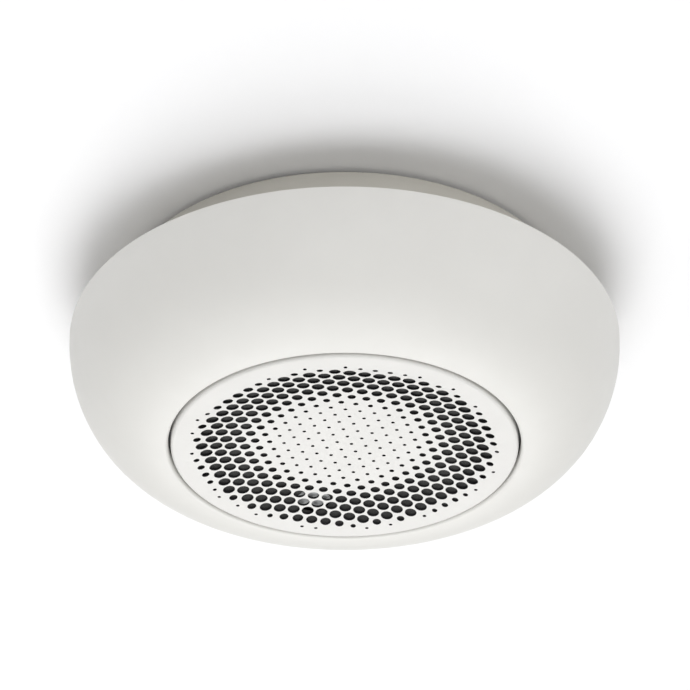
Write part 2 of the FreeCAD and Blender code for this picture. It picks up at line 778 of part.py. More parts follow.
# ----------------------------------------------------------------------- baffle
def make_baffle():
    """Disc behind the grille with a spigot, a foot, four ears and lamp hole."""
    top = "baffle_bottom + baffle_thickness"
    disc = turned("baffle_disc", [
        ("baffle_opening", "baffle_bottom"),
        ("spigot_inner", "baffle_bottom"),
        ("spigot_inner", "spigot_bottom"),
        ("spigot_outer", "spigot_bottom"),
        ("spigot_outer", "baffle_bottom"),
        ("foot_inner", "baffle_bottom"),
        ("foot_inner", "foot_bottom"),
        ("foot_outer", "foot_bottom"),
        ("foot_outer", "baffle_bottom"),
        ("baffle_radius", "baffle_bottom"),
        ("baffle_radius", top),
        ("baffle_opening", top),
    ])
    solids = [disc]
    for index, turn in enumerate(DIAGONALS, start=1):
        solids.append(block(f"ear_{index}", "ear_outer - ear_inner", "ear_width", "ear_thickness",
                            "ear_bottom", "ear_inner", "0", turn))
        solids.append(block(f"ear_riser_{index}", "ear_step - ear_inner", "ear_width",
                            f"ear_bottom - ({top})", top, "ear_inner", "0", turn))
    solids += holes("speaker_boss", "speaker_boss_radius", "gasket_thickness", top,
                    "speaker_screw_orbit", DIAGONALS)
    tools = holes("ear_hole", "baffle_screw_shank + guide_clearance", "ear_thickness + 2",
                  "ear_bottom - 1", "baffle_screw_orbit", DIAGONALS)
    tools += holes("speaker_pilot", "speaker_screw_shank + screw_clearance",
                   "baffle_thickness + gasket_thickness + 2", "baffle_bottom - 1",
                   "speaker_screw_orbit", DIAGONALS)
    tools.append(cylinder("lamp_hole", "guide_radius + lens_clearance", "4", "baffle_bottom - 1",
                          "lamp_side", "lamp_forward"))
    keep("speaker_baffle", cut("speaker_baffle", fuse("baffle_blank", solids), tools))


# ------------------------------------------------------------------ loudspeaker
def make_speaker():
    """Gasket, frame, surround, cone, cap, coil and the three motor pieces."""
    seat = "baffle_bottom + baffle_thickness"
    flange = f"{seat} + gasket_thickness"
    flange_top = f"{flange} + speaker_flange"
    ring = cylinder("gasket_ring", "speaker_radius", "gasket_thickness", seat)
    bore = cylinder("gasket_bore", "gasket_inner", "4", f"({seat}) - 1")
    keep("speaker_gasket", cut("speaker_gasket", ring, [bore]))
    basket = turned("basket", [
        ("speaker_mouth", flange),
        ("speaker_radius", flange),
        ("speaker_radius", flange_top),
        ("speaker_mouth + speaker_flange", flange_top),
        ("speaker_back_radius", "speaker_back"),
        ("magnet_hole", "speaker_back"),
        ("magnet_hole", "speaker_back - speaker_skin"),
        ("speaker_back_radius - speaker_skin", "speaker_back - speaker_skin"),
        ("speaker_mouth", f"{flange} + speaker_skin"),
    ])
    ears = [block(f"frame_ear_{index}", "speaker_ear_outer - speaker_mouth - 1", "speaker_ear_width",
                  "speaker_flange", flange, "speaker_mouth + 1", "0", turn)
            for index, turn in enumerate(DIAGONALS, start=1)]
    ear_holes = holes("frame_hole", "speaker_screw_shank + guide_clearance", "speaker_flange + 2",
                      f"({flange}) - 1", "speaker_screw_orbit", DIAGONALS)
    windows = [block(f"frame_window_{index}", "speaker_window_depth", "speaker_window_width",
                     "speaker_window_height", "speaker_window_bottom", "speaker_window_inner", "0", turn)
               for index, turn in enumerate(QUARTERS, start=1)]
    keep("speaker_frame", cut("speaker_frame", fuse("frame_blank", [basket] + ears),
                              ear_holes + windows))
    roll_top = "surround_bottom + surround_skin"
    inner_roll = "surround_roll - surround_skin"
    keep("speaker_surround", turned("speaker_surround", [
        ("surround_edge", "surround_bottom"),
        ("surround_mid + surround_roll", "surround_bottom", "surround_arc", -1),
        ("surround_mid - surround_roll", "surround_bottom"),
        ("surround_inner", "surround_bottom"),
        ("surround_inner", roll_top),
        (f"surround_mid - ({inner_roll})", roll_top, "surround_arc - surround_skin", 1),
        (f"surround_mid + ({inner_roll})", roll_top),
        ("surround_edge", roll_top),
    ]))
    keep("speaker_cone", turned("speaker_cone", [
        ("cone_neck", "cone_back + cone_skin"),
        ("cone_radius", "cone_front + cone_skin"),
        ("cone_radius", "cone_front"),
        ("cone_neck", "cone_back"),
    ]))
    drop = "(cap_edge - cap_front)"
    dome = f"(cap_radius * cap_radius + {drop} * {drop}) / (2 * {drop})"
    inside = "(cap_radius - cap_skin)"
    inner_drop = "(cap_edge - cap_front - cap_skin)"
    inner_dome = f"({inside} * {inside} + {inner_drop} * {inner_drop}) / (2 * {inner_drop})"
    keep("dust_cap", turned("dust_cap", [
        ("0", "cap_front", dome, 1),
        ("cap_radius", "cap_edge"),
        (inside, "cap_edge", inner_dome, -1),
        ("0", "cap_front + cap_skin"),
    ]))
    tube = cylinder("coil_tube", "coil_outer", "coil_length", "coil_bottom")
    tube_bore = cylinder("coil_bore", "coil_inner", "coil_length + 2", "coil_bottom - 1")
    keep("voice_coil", cut("voice_coil", tube, [tube_bore]))
    plate = cylinder("top_plate_disc", "motor_radius", "top_plate_thickness", "speaker_back")
    plate_bore = cylinder("top_plate_bore", "gap_radius", "top_plate_thickness + 2",
                          "speaker_back - 1")
    keep("speaker_top_plate", cut("speaker_top_plate", plate, [plate_bore]))
    magnet_bottom = "speaker_back + top_plate_thickness"
    magnet = cylinder("magnet_disc", "magnet_radius", "magnet_thickness", magnet_bottom)
    magnet_bore = cylinder("magnet_bore", "magnet_hole", "magnet_thickness + 2",
                           f"({magnet_bottom}) - 1")
    keep("speaker_magnet", cut("speaker_magnet", magnet, [magnet_bore]))
    yoke_bottom = f"{magnet_bottom} + magnet_thickness"
    back = cylinder("yoke_disc", "motor_radius", "yoke_thickness", yoke_bottom)
    pole = cylinder("yoke_pole", "pole_radius", f"({yoke_bottom}) - speaker_back", "speaker_back")
    keep("speaker_yoke", fuse("speaker_yoke", [back, pole]))
    terminals = [block(f"terminal_{index}", "terminal_thickness", "terminal_width", "terminal_height",
                       flange_top, "terminal_inner", f"{side} * terminal_side", CONNECTOR_TURN)
                 for index, side in enumerate((1, -1), start=1)]
    keep("speaker_terminals", group("speaker_terminals", terminals))


# ------------------------------------------------------------------------ board
def make_board():
    """Ring-shaped board with the parts that are soldered to it."""
    bottom = "board_top - board_thickness"
    disc = cylinder("board_disc", "board_outer", "board_thickness", bottom)
    tools = [cylinder("board_opening", "board_inner", "board_thickness + 2", f"({bottom}) - 1")]
    tools += holes("board_cutout", "board_notch", "board_thickness + 2", f"({bottom}) - 1",
                   "housing_screw_orbit", QUARTERS)
    tools += holes("board_hole", "board_screw_shank + guide_clearance", "board_thickness + 2",
                   f"({bottom}) - 1", "board_screw_orbit", DIAGONALS)
    keep("main_board", cut("main_board", disc, tools))

    def under(label, depth, width, height, radial, turn):
        """Solder a rectangular part to the underside of the board."""
        return keep(label, block(label, depth, width, height, f"({bottom}) - {height}", radial,
                                 "0", turn))

    def can(label, part, turn):
        """Solder a round part to the underside of the board."""
        return cylinder(label, f"{part}_radius", f"{part}_height", f"({bottom}) - {part}_height",
                        f"{part}_orbit", "0", turn)

    under("radio_shield", "shield_depth", "shield_width", "shield_height", "shield_inner", SHIELD_TURN)
    under("processor_chip", "processor_side", "processor_side", "chip_height", "processor_inner",
          PROCESSOR_TURN)
    under("amplifier_chip", "amplifier_side", "amplifier_side", "chip_height", "amplifier_inner",
          AMPLIFIER_TURN)
    under("speaker_connector", "connector_depth", "connector_width", "connector_height",
          "connector_inner", CONNECTOR_TURN)
    keep("power_inductor", can("power_inductor", "inductor", INDUCTOR_TURN))
    cans = [can(f"capacitor_{index}", "capacitor", turn)
            for index, turn in enumerate(CAPACITOR_TURNS, start=1)]
    keep("capacitors", group("capacitors", cans))
    keep("antenna", sector("antenna", "antenna_inner", "antenna_inner + antenna_thickness",
                           "antenna_height", f"({bottom}) - antenna_height", ANTENNA_TURN,
                           "antenna_span"))
    keep("status_led", block("status_led", "lamp_length", "lamp_width", "lamp_height",
                             f"({bottom}) - lamp_height", "lamp_side - lamp_length / 2",
                             "lamp_forward"))
    for label, side in (("tamper_switch", 1), ("pairing_switch", -1)):
        inner = f"{side} * button_orbit - switch_side / 2"
        keep(label, block(label, "switch_side", "switch_side", "switch_height", "board_top", inner))
    head = cylinder("lens_head", "lens_radius", "baffle_bottom - (lens_face)", "lens_face",
                    "lamp_side", "lens_forward")
    guide = cylinder("lens_guide", "guide_radius", "guide_top - (lens_face) - lens_margin",
                     "lens_face + lens_margin", "lamp_side", "lamp_forward")
    keep("led_lens", fuse("led_lens", [head, guide]))


# ------------------------------------------------------------------------ cells
def make_cells():
    """Four cells that lie across the radius, with plate and spring contacts."""
    plates = []
    springs = []
    room = "(bay_length / 2 - contact_thickness)"
    offset = f"({room} - cell_length / 2 - cell_nub_length)"
    face_bottom = "(bay_floor + contact_gap)"
    for index, turn in enumerate(DIAGONALS, start=1):
        axis = FreeCAD.Rotation(FreeCAD.Vector(0, 0, 1), turn) * FreeCAD.Rotation(
            FreeCAD.Vector(1, 0, 0), -90.0)
        can = doc.addObject("Part::Cylinder", f"can_{index}")
        nub = doc.addObject("Part::Cylinder", f"nub_{index}")
        for piece, radius, tall, start in (
                (can, "cell_radius", "cell_length", "-cell_length / 2"),
                (nub, "cell_nub_radius", "2 * cell_nub_length", "cell_length / 2 - cell_nub_length")):
            bind(piece, "Radius", radius)
            bind(piece, "Height", tall)
            place(piece, "cell_orbit", f"{start} + {offset}", "cell_height", turn)
            piece.Placement = FreeCAD.Placement(piece.Placement.Base, axis)
        keep(f"battery_{index}", fuse(f"battery_{index}", [can, nub]))
        for end, side in enumerate((1, -1), start=1):
            across = f"{side} * (bay_length / 2 - contact_thickness / 2)"
            face = block(f"contact_{index}_{end}", "contact_width", "contact_thickness",
                         f"contact_top - {face_bottom}", face_bottom,
                         "cell_orbit - contact_width / 2", across, turn)
            tail = block(f"tail_{index}_{end}", "contact_tail_width", "contact_thickness",
                         f"{face_bottom} - board_top", "board_top",
                         "cell_orbit - contact_tail_width / 2", across, turn)
            plates.append(fuse(f"contact_plate_{index}_{end}", [face, tail]))
        gap = size(f"{room} - cell_length / 2 + {offset}")
        shape = coil(size("cell_spring_radius"), size("cell_spring_wire"), gap, CELL_SPRING_TURNS)
        spin = FreeCAD.Rotation(FreeCAD.Vector(0, 0, 1), turn)
        foot = FreeCAD.Vector(size("cell_orbit"), -size(room), size("cell_height"))
        spot = spin.multVec(foot)
        springs.append(shaped(f"cell_spring_{index}", shape, FreeCAD.Placement(spot, axis)))
    keep("battery_contacts", group("battery_contacts", plates))
    keep("battery_springs", group("battery_springs", springs))


# -------------------------------------------------------------- moving controls
def make_controls():
    """Tamper plunger with its spring, and the pairing button."""
    panel_bottom = "panel_top - panel_thickness"
    collar_top = f"{panel_bottom} - collar_gap"
    collar_bottom = f"{collar_top} - collar_thickness"
    keep("tamper_plunger", turned("tamper_plunger", [
        ("0", "tamper_tip"),
        ("tamper_radius - 0.4", "tamper_tip"),
        ("tamper_radius", "tamper_tip - 0.4"),
        ("tamper_radius", collar_top),
        ("tamper_collar_radius", collar_top),
        ("tamper_collar_radius", collar_bottom),
        ("tamper_stem_radius", collar_bottom),
        ("tamper_stem_radius", "tamper_foot"),
        ("0", "tamper_foot"),
    ]))
    place(nodes["tamper_plunger"], "button_orbit", "0", "0")
    keep("pairing_button", turned("pairing_button", [
        ("0", "button_top"),
        ("button_radius - 0.4", "button_top"),
        ("button_radius", "button_top - 0.4"),
        ("button_radius", collar_top),
        ("button_collar_radius", collar_top),
        ("button_collar_radius", collar_bottom),
        ("button_stem_radius", collar_bottom),
        ("button_stem_radius", "button_foot"),
        ("0", "button_foot"),
    ]))
    place(nodes["pairing_button"], "-button_orbit", "0", "0")
    low = size("board_top + switch_height")
    shape = coil(size("tamper_spring_radius"), size("tamper_spring_wire"),
                 size(collar_bottom) - low, TAMPER_SPRING_TURNS)
    spot = FreeCAD.Placement(FreeCAD.Vector(size("button_orbit"), 0, low), FreeCAD.Rotation())
    keep("tamper_spring", shaped("tamper_spring", shape, spot))


def make_wires():
    """Two short leads from the board's connector to the loudspeaker."""
    leads = []
    for index, side in enumerate((1, -1), start=1):
        start, middle, end = (
            FreeCAD.Vector(side * size(f"lead_{spot}_side"), size(f"lead_{spot}_forward"),
                           size(f"lead_{spot}_height"))
            for spot in ("start", "middle", "end"))
        path = Part.Wire(Part.Arc(start, middle, end).toShape())
        edge = path.Edges[0]
        along = edge.tangentAt(edge.FirstParameter)
        section = Part.Wire(Part.makeCircle(size("lead_radius"), start, along))
        leads.append(shaped(f"speaker_lead_{index}", path.makePipeShell([section], True, True)))
    keep("speaker_leads", group("speaker_leads", leads))


def make_screws():
    """Every set of identical screws."""
    speaker_seat = "baffle_bottom + baffle_thickness + gasket_thickness + speaker_flange"
    screw_set("housing", "flange_top", QUARTERS, 1)
    screw_set("baffle", "ear_bottom + ear_thickness", DIAGONALS, 1)
    screw_set("speaker", speaker_seat, DIAGONALS, 1)
    screw_set("board", "board_top - board_thickness", DIAGONALS, -1)


def check_and_write():
    """Check every object, then write one file for each node."""
    doc.recompute()
    for thing in doc.Objects:
        if "Invalid" in thing.State or "Error" in thing.State:
            raise RuntimeError(f"{thing.Name} failed: {thing.State}")
    for label, thing in nodes.items():
        if thing.Shape.isNull() or not thing.Shape.isValid():
            raise RuntimeError(f"{label} has no valid shape")
    os.makedirs("parts", exist_ok=True)
    for label, thing in nodes.items():
        thing.Shape.exportStep(f"parts/{label}.step")
        span = thing.Shape.BoundBox
        print(f"{label}: {len(thing.Shape.Solids)} solid(s), volume {thing.Shape.Volume:.1f}, "
              f"z {span.ZMin:.2f} to {span.ZMax:.2f}")


make_ceiling_plate()
make_rear_housing()
make_front_shell()
make_grille()
make_acoustic_mesh()
make_baffle()
make_speaker()
make_board()
make_cells()
make_controls()
make_wires()
make_screws()
check_and_write()
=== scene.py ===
"""Looks of a ceiling alarm siren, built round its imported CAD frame.

A domed shell and a dished, perforated grille hang on a narrower neck, which
twists onto a ceiling plate.  Every length named *_mm is in millimetres and is
turned to metres once, in the function that builds the mesh.
"""
import json
import logging
import math
from collections.abc import Sequence
from dataclasses import dataclass
from enum import Enum

import bmesh
import bpy
from mathutils import Matrix, Vector
from mathutils.geometry import tessellate_polygon


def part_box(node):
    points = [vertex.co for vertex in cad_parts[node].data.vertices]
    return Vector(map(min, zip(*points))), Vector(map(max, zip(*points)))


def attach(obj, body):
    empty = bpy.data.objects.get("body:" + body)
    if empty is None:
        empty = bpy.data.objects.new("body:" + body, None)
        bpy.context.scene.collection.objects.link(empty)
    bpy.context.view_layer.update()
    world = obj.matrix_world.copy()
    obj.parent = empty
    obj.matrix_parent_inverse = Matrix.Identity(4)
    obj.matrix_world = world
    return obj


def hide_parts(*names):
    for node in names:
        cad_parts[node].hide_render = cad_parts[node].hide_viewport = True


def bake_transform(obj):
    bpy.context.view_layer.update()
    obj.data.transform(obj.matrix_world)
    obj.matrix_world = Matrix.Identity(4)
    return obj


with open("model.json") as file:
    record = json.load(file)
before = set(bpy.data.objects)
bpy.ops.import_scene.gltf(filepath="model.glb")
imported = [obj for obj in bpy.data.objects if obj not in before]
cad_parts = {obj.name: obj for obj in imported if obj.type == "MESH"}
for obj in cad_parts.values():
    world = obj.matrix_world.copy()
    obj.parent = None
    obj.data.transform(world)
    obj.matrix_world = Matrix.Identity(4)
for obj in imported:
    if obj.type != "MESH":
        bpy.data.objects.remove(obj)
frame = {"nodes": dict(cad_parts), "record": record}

LOG = logging.getLogger("siren")
MM = 0.001
FULL_TURN = 2.0 * math.pi
UNIT_BODY = "siren_unit"
PLATE_BODY = "ceiling_mount"

QUARTER_TURNS = (0.0, 90.0, 180.0, 270.0)
BAY_TURNS = (45.0, 135.0, 225.0, 315.0)

Loop = list[tuple[float, float]]
Shape = tuple[list[tuple[float, float, float]], list[tuple[int, ...]]]
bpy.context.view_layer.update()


def linear(colour: str) -> tuple[float, float, float, float]:
    """Turn an sRGB hex colour to linear values with full alpha.

    Args:
        colour: Six hex digits, such as "f4f3ee".

    Returns:
        Red, green, blue and alpha, each 0 to 1.
    """
    parts = [int(colour[start:start + 2], 16) / 255.0 for start in (0, 2, 4)]
    toe, slope, offset, span, power = 0.04045, 12.92, 0.055, 1.055, 2.4
    out = [part / slope if part <= toe else ((part + offset) / span) ** power for part in parts]
    return out[0], out[1], out[2], 1.0


def add_node(tree: bpy.types.NodeTree, kind: str, settings: dict | None = None,
             inputs: dict | None = None) -> bpy.types.Node:
    """Add a node, set its properties and fill or link its inputs.

    Args:
        tree: The tree that gets the node.
        kind: The node's type name.
        settings: Property names and their values.
        inputs: Input names or numbers, each with a value or an output socket.

    Returns:
        The new node.
    """
    made = tree.nodes.new(kind)
    for name, value in (settings or {}).items():
        setattr(made, name, value)
    for key, value in (inputs or {}).items():
        socket = made.inputs[key]
        if isinstance(value, bpy.types.NodeSocket):
            tree.links.new(value, socket)
        else:
            socket.default_value = value
    return made


# ------------------------------------------------------------------- finishes
class Surface(Enum):
    """How a finish breaks up the light on it."""

    SPARK_ERODED = "fine pits from a spark-eroded mould"
    POWDER_COAT = "rounded pimples of sintered powder"
    PLATED = "faint drawn lines under a bright plating"
    SINTERED = "coarse pores of a pressed ceramic"


def calc(tree: bpy.types.NodeTree, operation: str, *terms: object) -> bpy.types.NodeSocket:
    """Add a sum, product or other operation and return its result."""
    return add_node(tree, "ShaderNodeMath", {"operation": operation},
                    dict(enumerate(terms))).outputs[0]


def noise(tree: bpy.types.NodeTree, place: bpy.types.NodeSocket, size_mm: float, detail: float,
          roughness: float = 0.5) -> bpy.types.NodeSocket:
    """Add a noise pattern of a real size.

    Args:
        tree: The material's tree.
        place: The coordinates.
        size_mm: Width of its largest spots.
        detail: Number of finer octaves.
        roughness: How strong the finer octaves are.

    Returns:
        The output that carries the pattern, 0 to 1.
    """
    return add_node(tree, "ShaderNodeTexNoise", inputs={
        "Vector": place, "Scale": 1.0 / (size_mm * MM), "Detail": detail,
        "Roughness": roughness}).outputs["Fac"]


@dataclass(frozen=True)
class Finish:
    """A procedural material that is built once.

    Attributes:
        name: The real material and how its surface was made.
    """

    name: str

    def build(self) -> bpy.types.Material:
        """Build the material, or return it if it is there already."""
        known = bpy.data.materials.get(self.name)
        if known:
            return known
        made = bpy.data.materials.new(self.name)
        made.use_nodes = True
        place = add_node(made.node_tree, "ShaderNodeTexCoord").outputs["Object"]
        self.paint(made.node_tree, place)
        return made

    def paint(self, tree: bpy.types.NodeTree, place: bpy.types.NodeSocket) -> None:
        """Fill the material's tree; every kind of finish has its own way."""
        raise NotImplementedError

    def constants(self, tree: bpy.types.NodeTree, values: dict) -> None:
        """Set fixed values on the shader's own sockets."""
        for label, value in values.items():
            tree.nodes["Principled BSDF"].inputs[label].default_value = value

    def drive(self, tree: bpy.types.NodeTree, label: str, source: bpy.types.NodeSocket) -> None:
        """Let a pattern drive one of the shader's sockets."""
        tree.links.new(source, tree.nodes["Principled BSDF"].inputs[label])

    def tint(self, tree: bpy.types.NodeTree, factor: bpy.types.NodeSocket, low: str,
             high: str) -> None:
        """Blend two sRGB hex colours by a pattern and drive the base colour."""
        colour = add_node(tree, "ShaderNodeMix", {"data_type": "RGBA"}, {
            "Factor": factor, 6: linear(low), 7: linear(high)})
        self.drive(tree, "Base Color", colour.outputs[2])

    def emboss(self, tree: bpy.types.NodeTree, height: bpy.types.NodeSocket, depth_mm: float,
               strength: float = 1.0, invert: bool = False) -> None:
        """Drive the normal with a bump of a real depth."""
        bump = add_node(tree, "ShaderNodeBump", {"invert": invert}, {
            "Height": height, "Distance": depth_mm * MM, "Strength": strength})
        self.drive(tree, "Normal", bump.outputs["Normal"])


@dataclass(frozen=True)
class Solid(Finish):
    """An opaque finish with a fine relief and slightly uneven colour.

    Attributes:
        colour: sRGB hex of the clean surface.
        shade: sRGB hex that the uneven patches lean to.
        roughness: Roughness of the clean surface.
        ior: Index of refraction; metals keep the default.
        metallic: 1 for a bare metal.
        surface: The relief.
        grain_mm: Distance between the bumps of the relief.
        depth_mm: Height of the bumps.
        patch_mm: Width of the patches of uneven colour and gloss.
        gloss_range: How far the patches take the roughness up and down.
    """

    colour: str
    shade: str
    roughness: float
    ior: float = 1.5
    metallic: float = 0.0
    surface: Surface = Surface.SPARK_ERODED
    grain_mm: float = 0.35
    depth_mm: float = 0.006
    patch_mm: float = 9.0
    gloss_range: float = 0.04

    def paint(self, tree: bpy.types.NodeTree, place: bpy.types.NodeSocket) -> None:
        """Mix the colour and gloss in patches and add the relief."""
        self.constants(tree, {"Metallic": self.metallic})
        if self.metallic == 0.0:
            self.constants(tree, {"IOR": self.ior})
        patches = noise(tree, place, self.patch_mm, 3.0, 0.55)
        self.tint(tree, patches, self.colour, self.shade)
        gloss = add_node(tree, "ShaderNodeMapRange", inputs={
            "Value": patches, "From Min": 0.3, "From Max": 0.7,
            "To Min": self.roughness - self.gloss_range,
            "To Max": self.roughness + self.gloss_range})
        self.drive(tree, "Roughness", gloss.outputs["Result"])
        self.emboss(tree, self.relief(tree, place), self.depth_mm)

    def relief(self, tree: bpy.types.NodeTree, place: bpy.types.NodeSocket) -> bpy.types.NodeSocket:
        """Return the height of the relief, 0 to 1.

        Args:
            tree: The material's tree.
            place: Object coordinates.

        Returns:
            The output that carries the height.
        """
        if self.surface is Surface.PLATED:
            lines = add_node(tree, "ShaderNodeMapping", inputs={
                "Vector": place, "Scale": (1.0, 1.0, 0.08)})
            return noise(tree, lines.outputs["Vector"], self.grain_mm, 2.0)
        if self.surface is Surface.POWDER_COAT:
            return add_node(tree, "ShaderNodeTexVoronoi", {"feature": "SMOOTH_F1"}, {
                "Vector": place, "Scale": 1.0 / (self.grain_mm * MM),
                "Smoothness": 0.8}).outputs["Distance"]
        detail = 6.0 if self.surface is Surface.SINTERED else 3.0
        return noise(tree, place, self.grain_mm, detail, 0.6)


@dataclass(frozen=True)
class WovenCloth(Finish):
    """Acoustic cloth: a plain weave of matt black monofilament.

    Attributes:
        thread: sRGB hex of the threads' crowns.
        gap_shade: sRGB hex of the painted shade in the gaps between the threads.
        spacing_mm: Distance from thread to thread.
        depth_mm: Height of a thread's crown over the gap.
    """

    thread: str
    gap_shade: str
    spacing_mm: float
    depth_mm: float

    def paint(self, tree: bpy.types.NodeTree, place: bpy.types.NodeSocket) -> None:
        """Lay threads along X and Y as rows of half waves, with painted shade darkening the colour
        into the gaps.
        """
        self.constants(tree, {"Roughness": 0.8, "IOR": 1.5, "Sheen Weight": 0.25,
                              "Sheen Roughness": 0.4})
        parts = add_node(tree, "ShaderNodeSeparateXYZ", inputs={"Vector": place}).outputs
        rate = math.pi / (self.spacing_mm * MM)
        waves = [calc(tree, "ABSOLUTE", calc(tree, "SINE", calc(
            tree, "MULTIPLY", parts[axis], rate))) for axis in ("X", "Y")]
        weave = calc(tree, "MAXIMUM", *waves)
        # Painted shade: the colour darkens from the threads' crowns down into the gaps between them.
        self.tint(tree, weave, self.gap_shade, self.thread)
        self.emboss(tree, weave, self.depth_mm, 0.8)


@dataclass(frozen=True)
class FrostedLens(Finish):
    """Clear polycarbonate with a satin moulded face that scatters the light.

    Attributes:
        colour: sRGB hex of the lens.
        haze: sRGB hex of its cloudier spots.
        grain_mm: Distance between the pits of the satin face.
        depth_mm: Depth of the pits.
    """

    colour: str
    haze: str
    grain_mm: float
    depth_mm: float = 0.01

    def paint(self, tree: bpy.types.NodeTree, place: bpy.types.NodeSocket) -> None:
        """Let light in under the face, evenly in all colours, and pit the face."""
        self.constants(tree, {
            "Roughness": 0.55, "IOR": 1.58, "Subsurface Weight": 0.4,
            "Subsurface Scale": 2.0 * MM, "Subsurface Radius": (1.0, 1.0, 1.0)})
        haze = noise(tree, place, self.grain_mm, 4.0)
        self.tint(tree, haze, self.colour, self.haze)
        self.emboss(tree, haze, self.depth_mm, 0.6)


@dataclass(frozen=True)
class CircuitBoard(Finish):
    """Green solder mask over laminate, with copper tracks that show as ridges.

    Attributes:
        mask: sRGB hex of the mask over bare laminate.
        track: sRGB hex of the mask over copper.
        pitch_mm: Distance between the tracks.
        copper_mm: Height of the tracks.
    """

    mask: str
    track: str
    pitch_mm: float
    copper_mm: float = 0.035

    def paint(self, tree: bpy.types.NodeTree, place: bpy.types.NodeSocket) -> None:
        """Draw the tracks as the borders of an even cell pattern."""
        self.constants(tree, {"Roughness": 0.3, "IOR": 1.55})
        cells = add_node(tree, "ShaderNodeTexVoronoi", {
            "feature": "DISTANCE_TO_EDGE", "distance": "EUCLIDEAN"}, {
            "Vector": place, "Scale": 1.0 / (self.pitch_mm * MM), "Randomness": 0.35})
        edge = add_node(tree, "ShaderNodeMapRange", inputs={
            "Value": cells.outputs["Distance"], "From Min": 0.08,
            "From Max": 0.12}).outputs["Result"]
        self.tint(tree, edge, self.track, self.mask)
        self.emboss(tree, edge, self.copper_mm, 0.7, True)


# Satin-moulded ABS: soft, even white with a fine sparkle-free tooth.
SHELL_WHITE = Solid("abs_spark_eroded_white", "e3e2de", "e0dfdb", 0.5, 1.53, depth_mm=0.004)
# The same ABS in a warm grey, a little duller.
NECK_GREY = Solid("abs_spark_eroded_warm_grey", "cfccc4", "c7c4bb", 0.5, 1.53)
# Powder coat on steel: slightly pebbled, whiter than the shell.
GRILLE_WHITE = Solid("steel_powder_coated_white", "e4e3e0", "e1e0dd", 0.58, 1.5,
                     surface=Surface.POWDER_COAT, grain_mm=0.25, depth_mm=0.004)
# Electro-coat primer left bare on the grille's back and in its holes; on the hole walls its black
# also paints the shade inside the holes.
GRILLE_BLACK_AND_HOLE_SHADE = Solid("steel_electro_coated_black_and_hole_shade", "1b1b1d", "232326", 0.6, 1.5)
# Dull black moulding that keeps light from coming back through the holes.
BLACK_PLASTIC = Solid("abs_spark_eroded_black", "1d1d1f", "262628", 0.5, 1.53)
# Mid grey moulding: the button stands out from the plate round it.
GREY_PLASTIC = Solid("abs_moulded_grey", "8d8d8f", "848487", 0.45, 1.53)
# Moulded epoxy: flat, charcoal and slightly mottled.
CHIP_EPOXY = Solid("epoxy_transfer_moulded_black", "202022", "2b2b2d", 0.55, 1.55)
# Uncoloured nylon: creamy, with a soft shine.
NYLON = Solid("nylon_moulded_natural", "e2dcc8", "d9d2bc", 0.4, 1.53)
# Shrunk film: dark blue, glossy and slightly wavy.
CELL_FILM = Solid("pvc_shrunk_film_blue", "2b3a6b", "263360", 0.25, 1.54, grain_mm=1.2)
# Cast epoxy: pale yellow and shiny.
LAMP_EPOXY = Solid("epoxy_lamp_pale_yellow", "f2edb8", "ece6a8", 0.2, 1.55)
# Closed-cell foam: black and deeply pored, with no shine.
FOAM = Solid("foam_closed_cell_black", "1a1a1b", "252526", 0.9, 1.5,
             surface=Surface.SINTERED, grain_mm=0.6, depth_mm=0.08)
# Pressed pulp: fibrous dark grey.
CONE_PULP = Solid("paper_pulp_pressed_black", "222223", "2e2e2f", 0.85, 1.5,
                  surface=Surface.SINTERED, grain_mm=0.5, depth_mm=0.03)
# Moulded rubber: even black with a faint sheen.
RUBBER = Solid("rubber_moulded_black", "19191a", "202021", 0.7, 1.52)
# Extruded sleeve: smooth red.
WIRE_PVC = Solid("pvc_extruded_red", "a3262a", "93201f", 0.4, 1.54, grain_mm=1.0)
# Sintered ferrite: dark, gritty grey.
FERRITE = Solid("ferrite_sintered_grey", "3a3a3d", "303033", 0.6, 1.6,
                surface=Surface.SINTERED, grain_mm=0.4, depth_mm=0.02)
# Bright zinc plate: cool, with faint drawn lines.
ZINC = Solid("steel_zinc_plated", "c6c8c6", "b4b6b2", 0.3, metallic=1.0, surface=Surface.PLATED)
# Nickel plate: warmer and shinier than zinc.
NICKEL = Solid("steel_nickel_plated", "cfccc4", "bdbab2", 0.22, metallic=1.0,
               surface=Surface.PLATED)
# Tinned sheet: soft grey shine.
TIN = Solid("steel_tinned", "c9cac8", "bcbdba", 0.35, metallic=1.0, surface=Surface.PLATED)
# Stamped brass: yellow and bright.
BRASS = Solid("brass_stamped", "d2b36a", "c6a65c", 0.28, metallic=1.0, surface=Surface.PLATED)
# Enamelled wire: glossy red-brown.
COPPER = Solid("copper_enamelled_wire", "b5653a", "a6582f", 0.25, metallic=1.0,
               surface=Surface.PLATED, grain_mm=0.2)
# Drawn aluminium: pale and satin.
CAN_ALUMINIUM = Solid("aluminium_drawn_can", "b9bbbd", "aeb0b2", 0.32, metallic=1.0,
                      surface=Surface.PLATED)
# Woven cloth: the black that shows through the holes, with painted shade in the gaps between its
# threads.
CLOTH = WovenCloth("polyester_cloth_woven_black", "242322", "0a0a09", 0.32, 0.12)
# Satin lens: a pale grey spot behind the holes.
LENS = FrostedLens("polycarbonate_satin_moulded", "a3a5a5", "b4b6b6", 0.5)
# Solder mask: green, with lighter tracks.
BOARD = CircuitBoard("laminate_green_solder_mask", "14502e", "1c6a3c", 2.4)

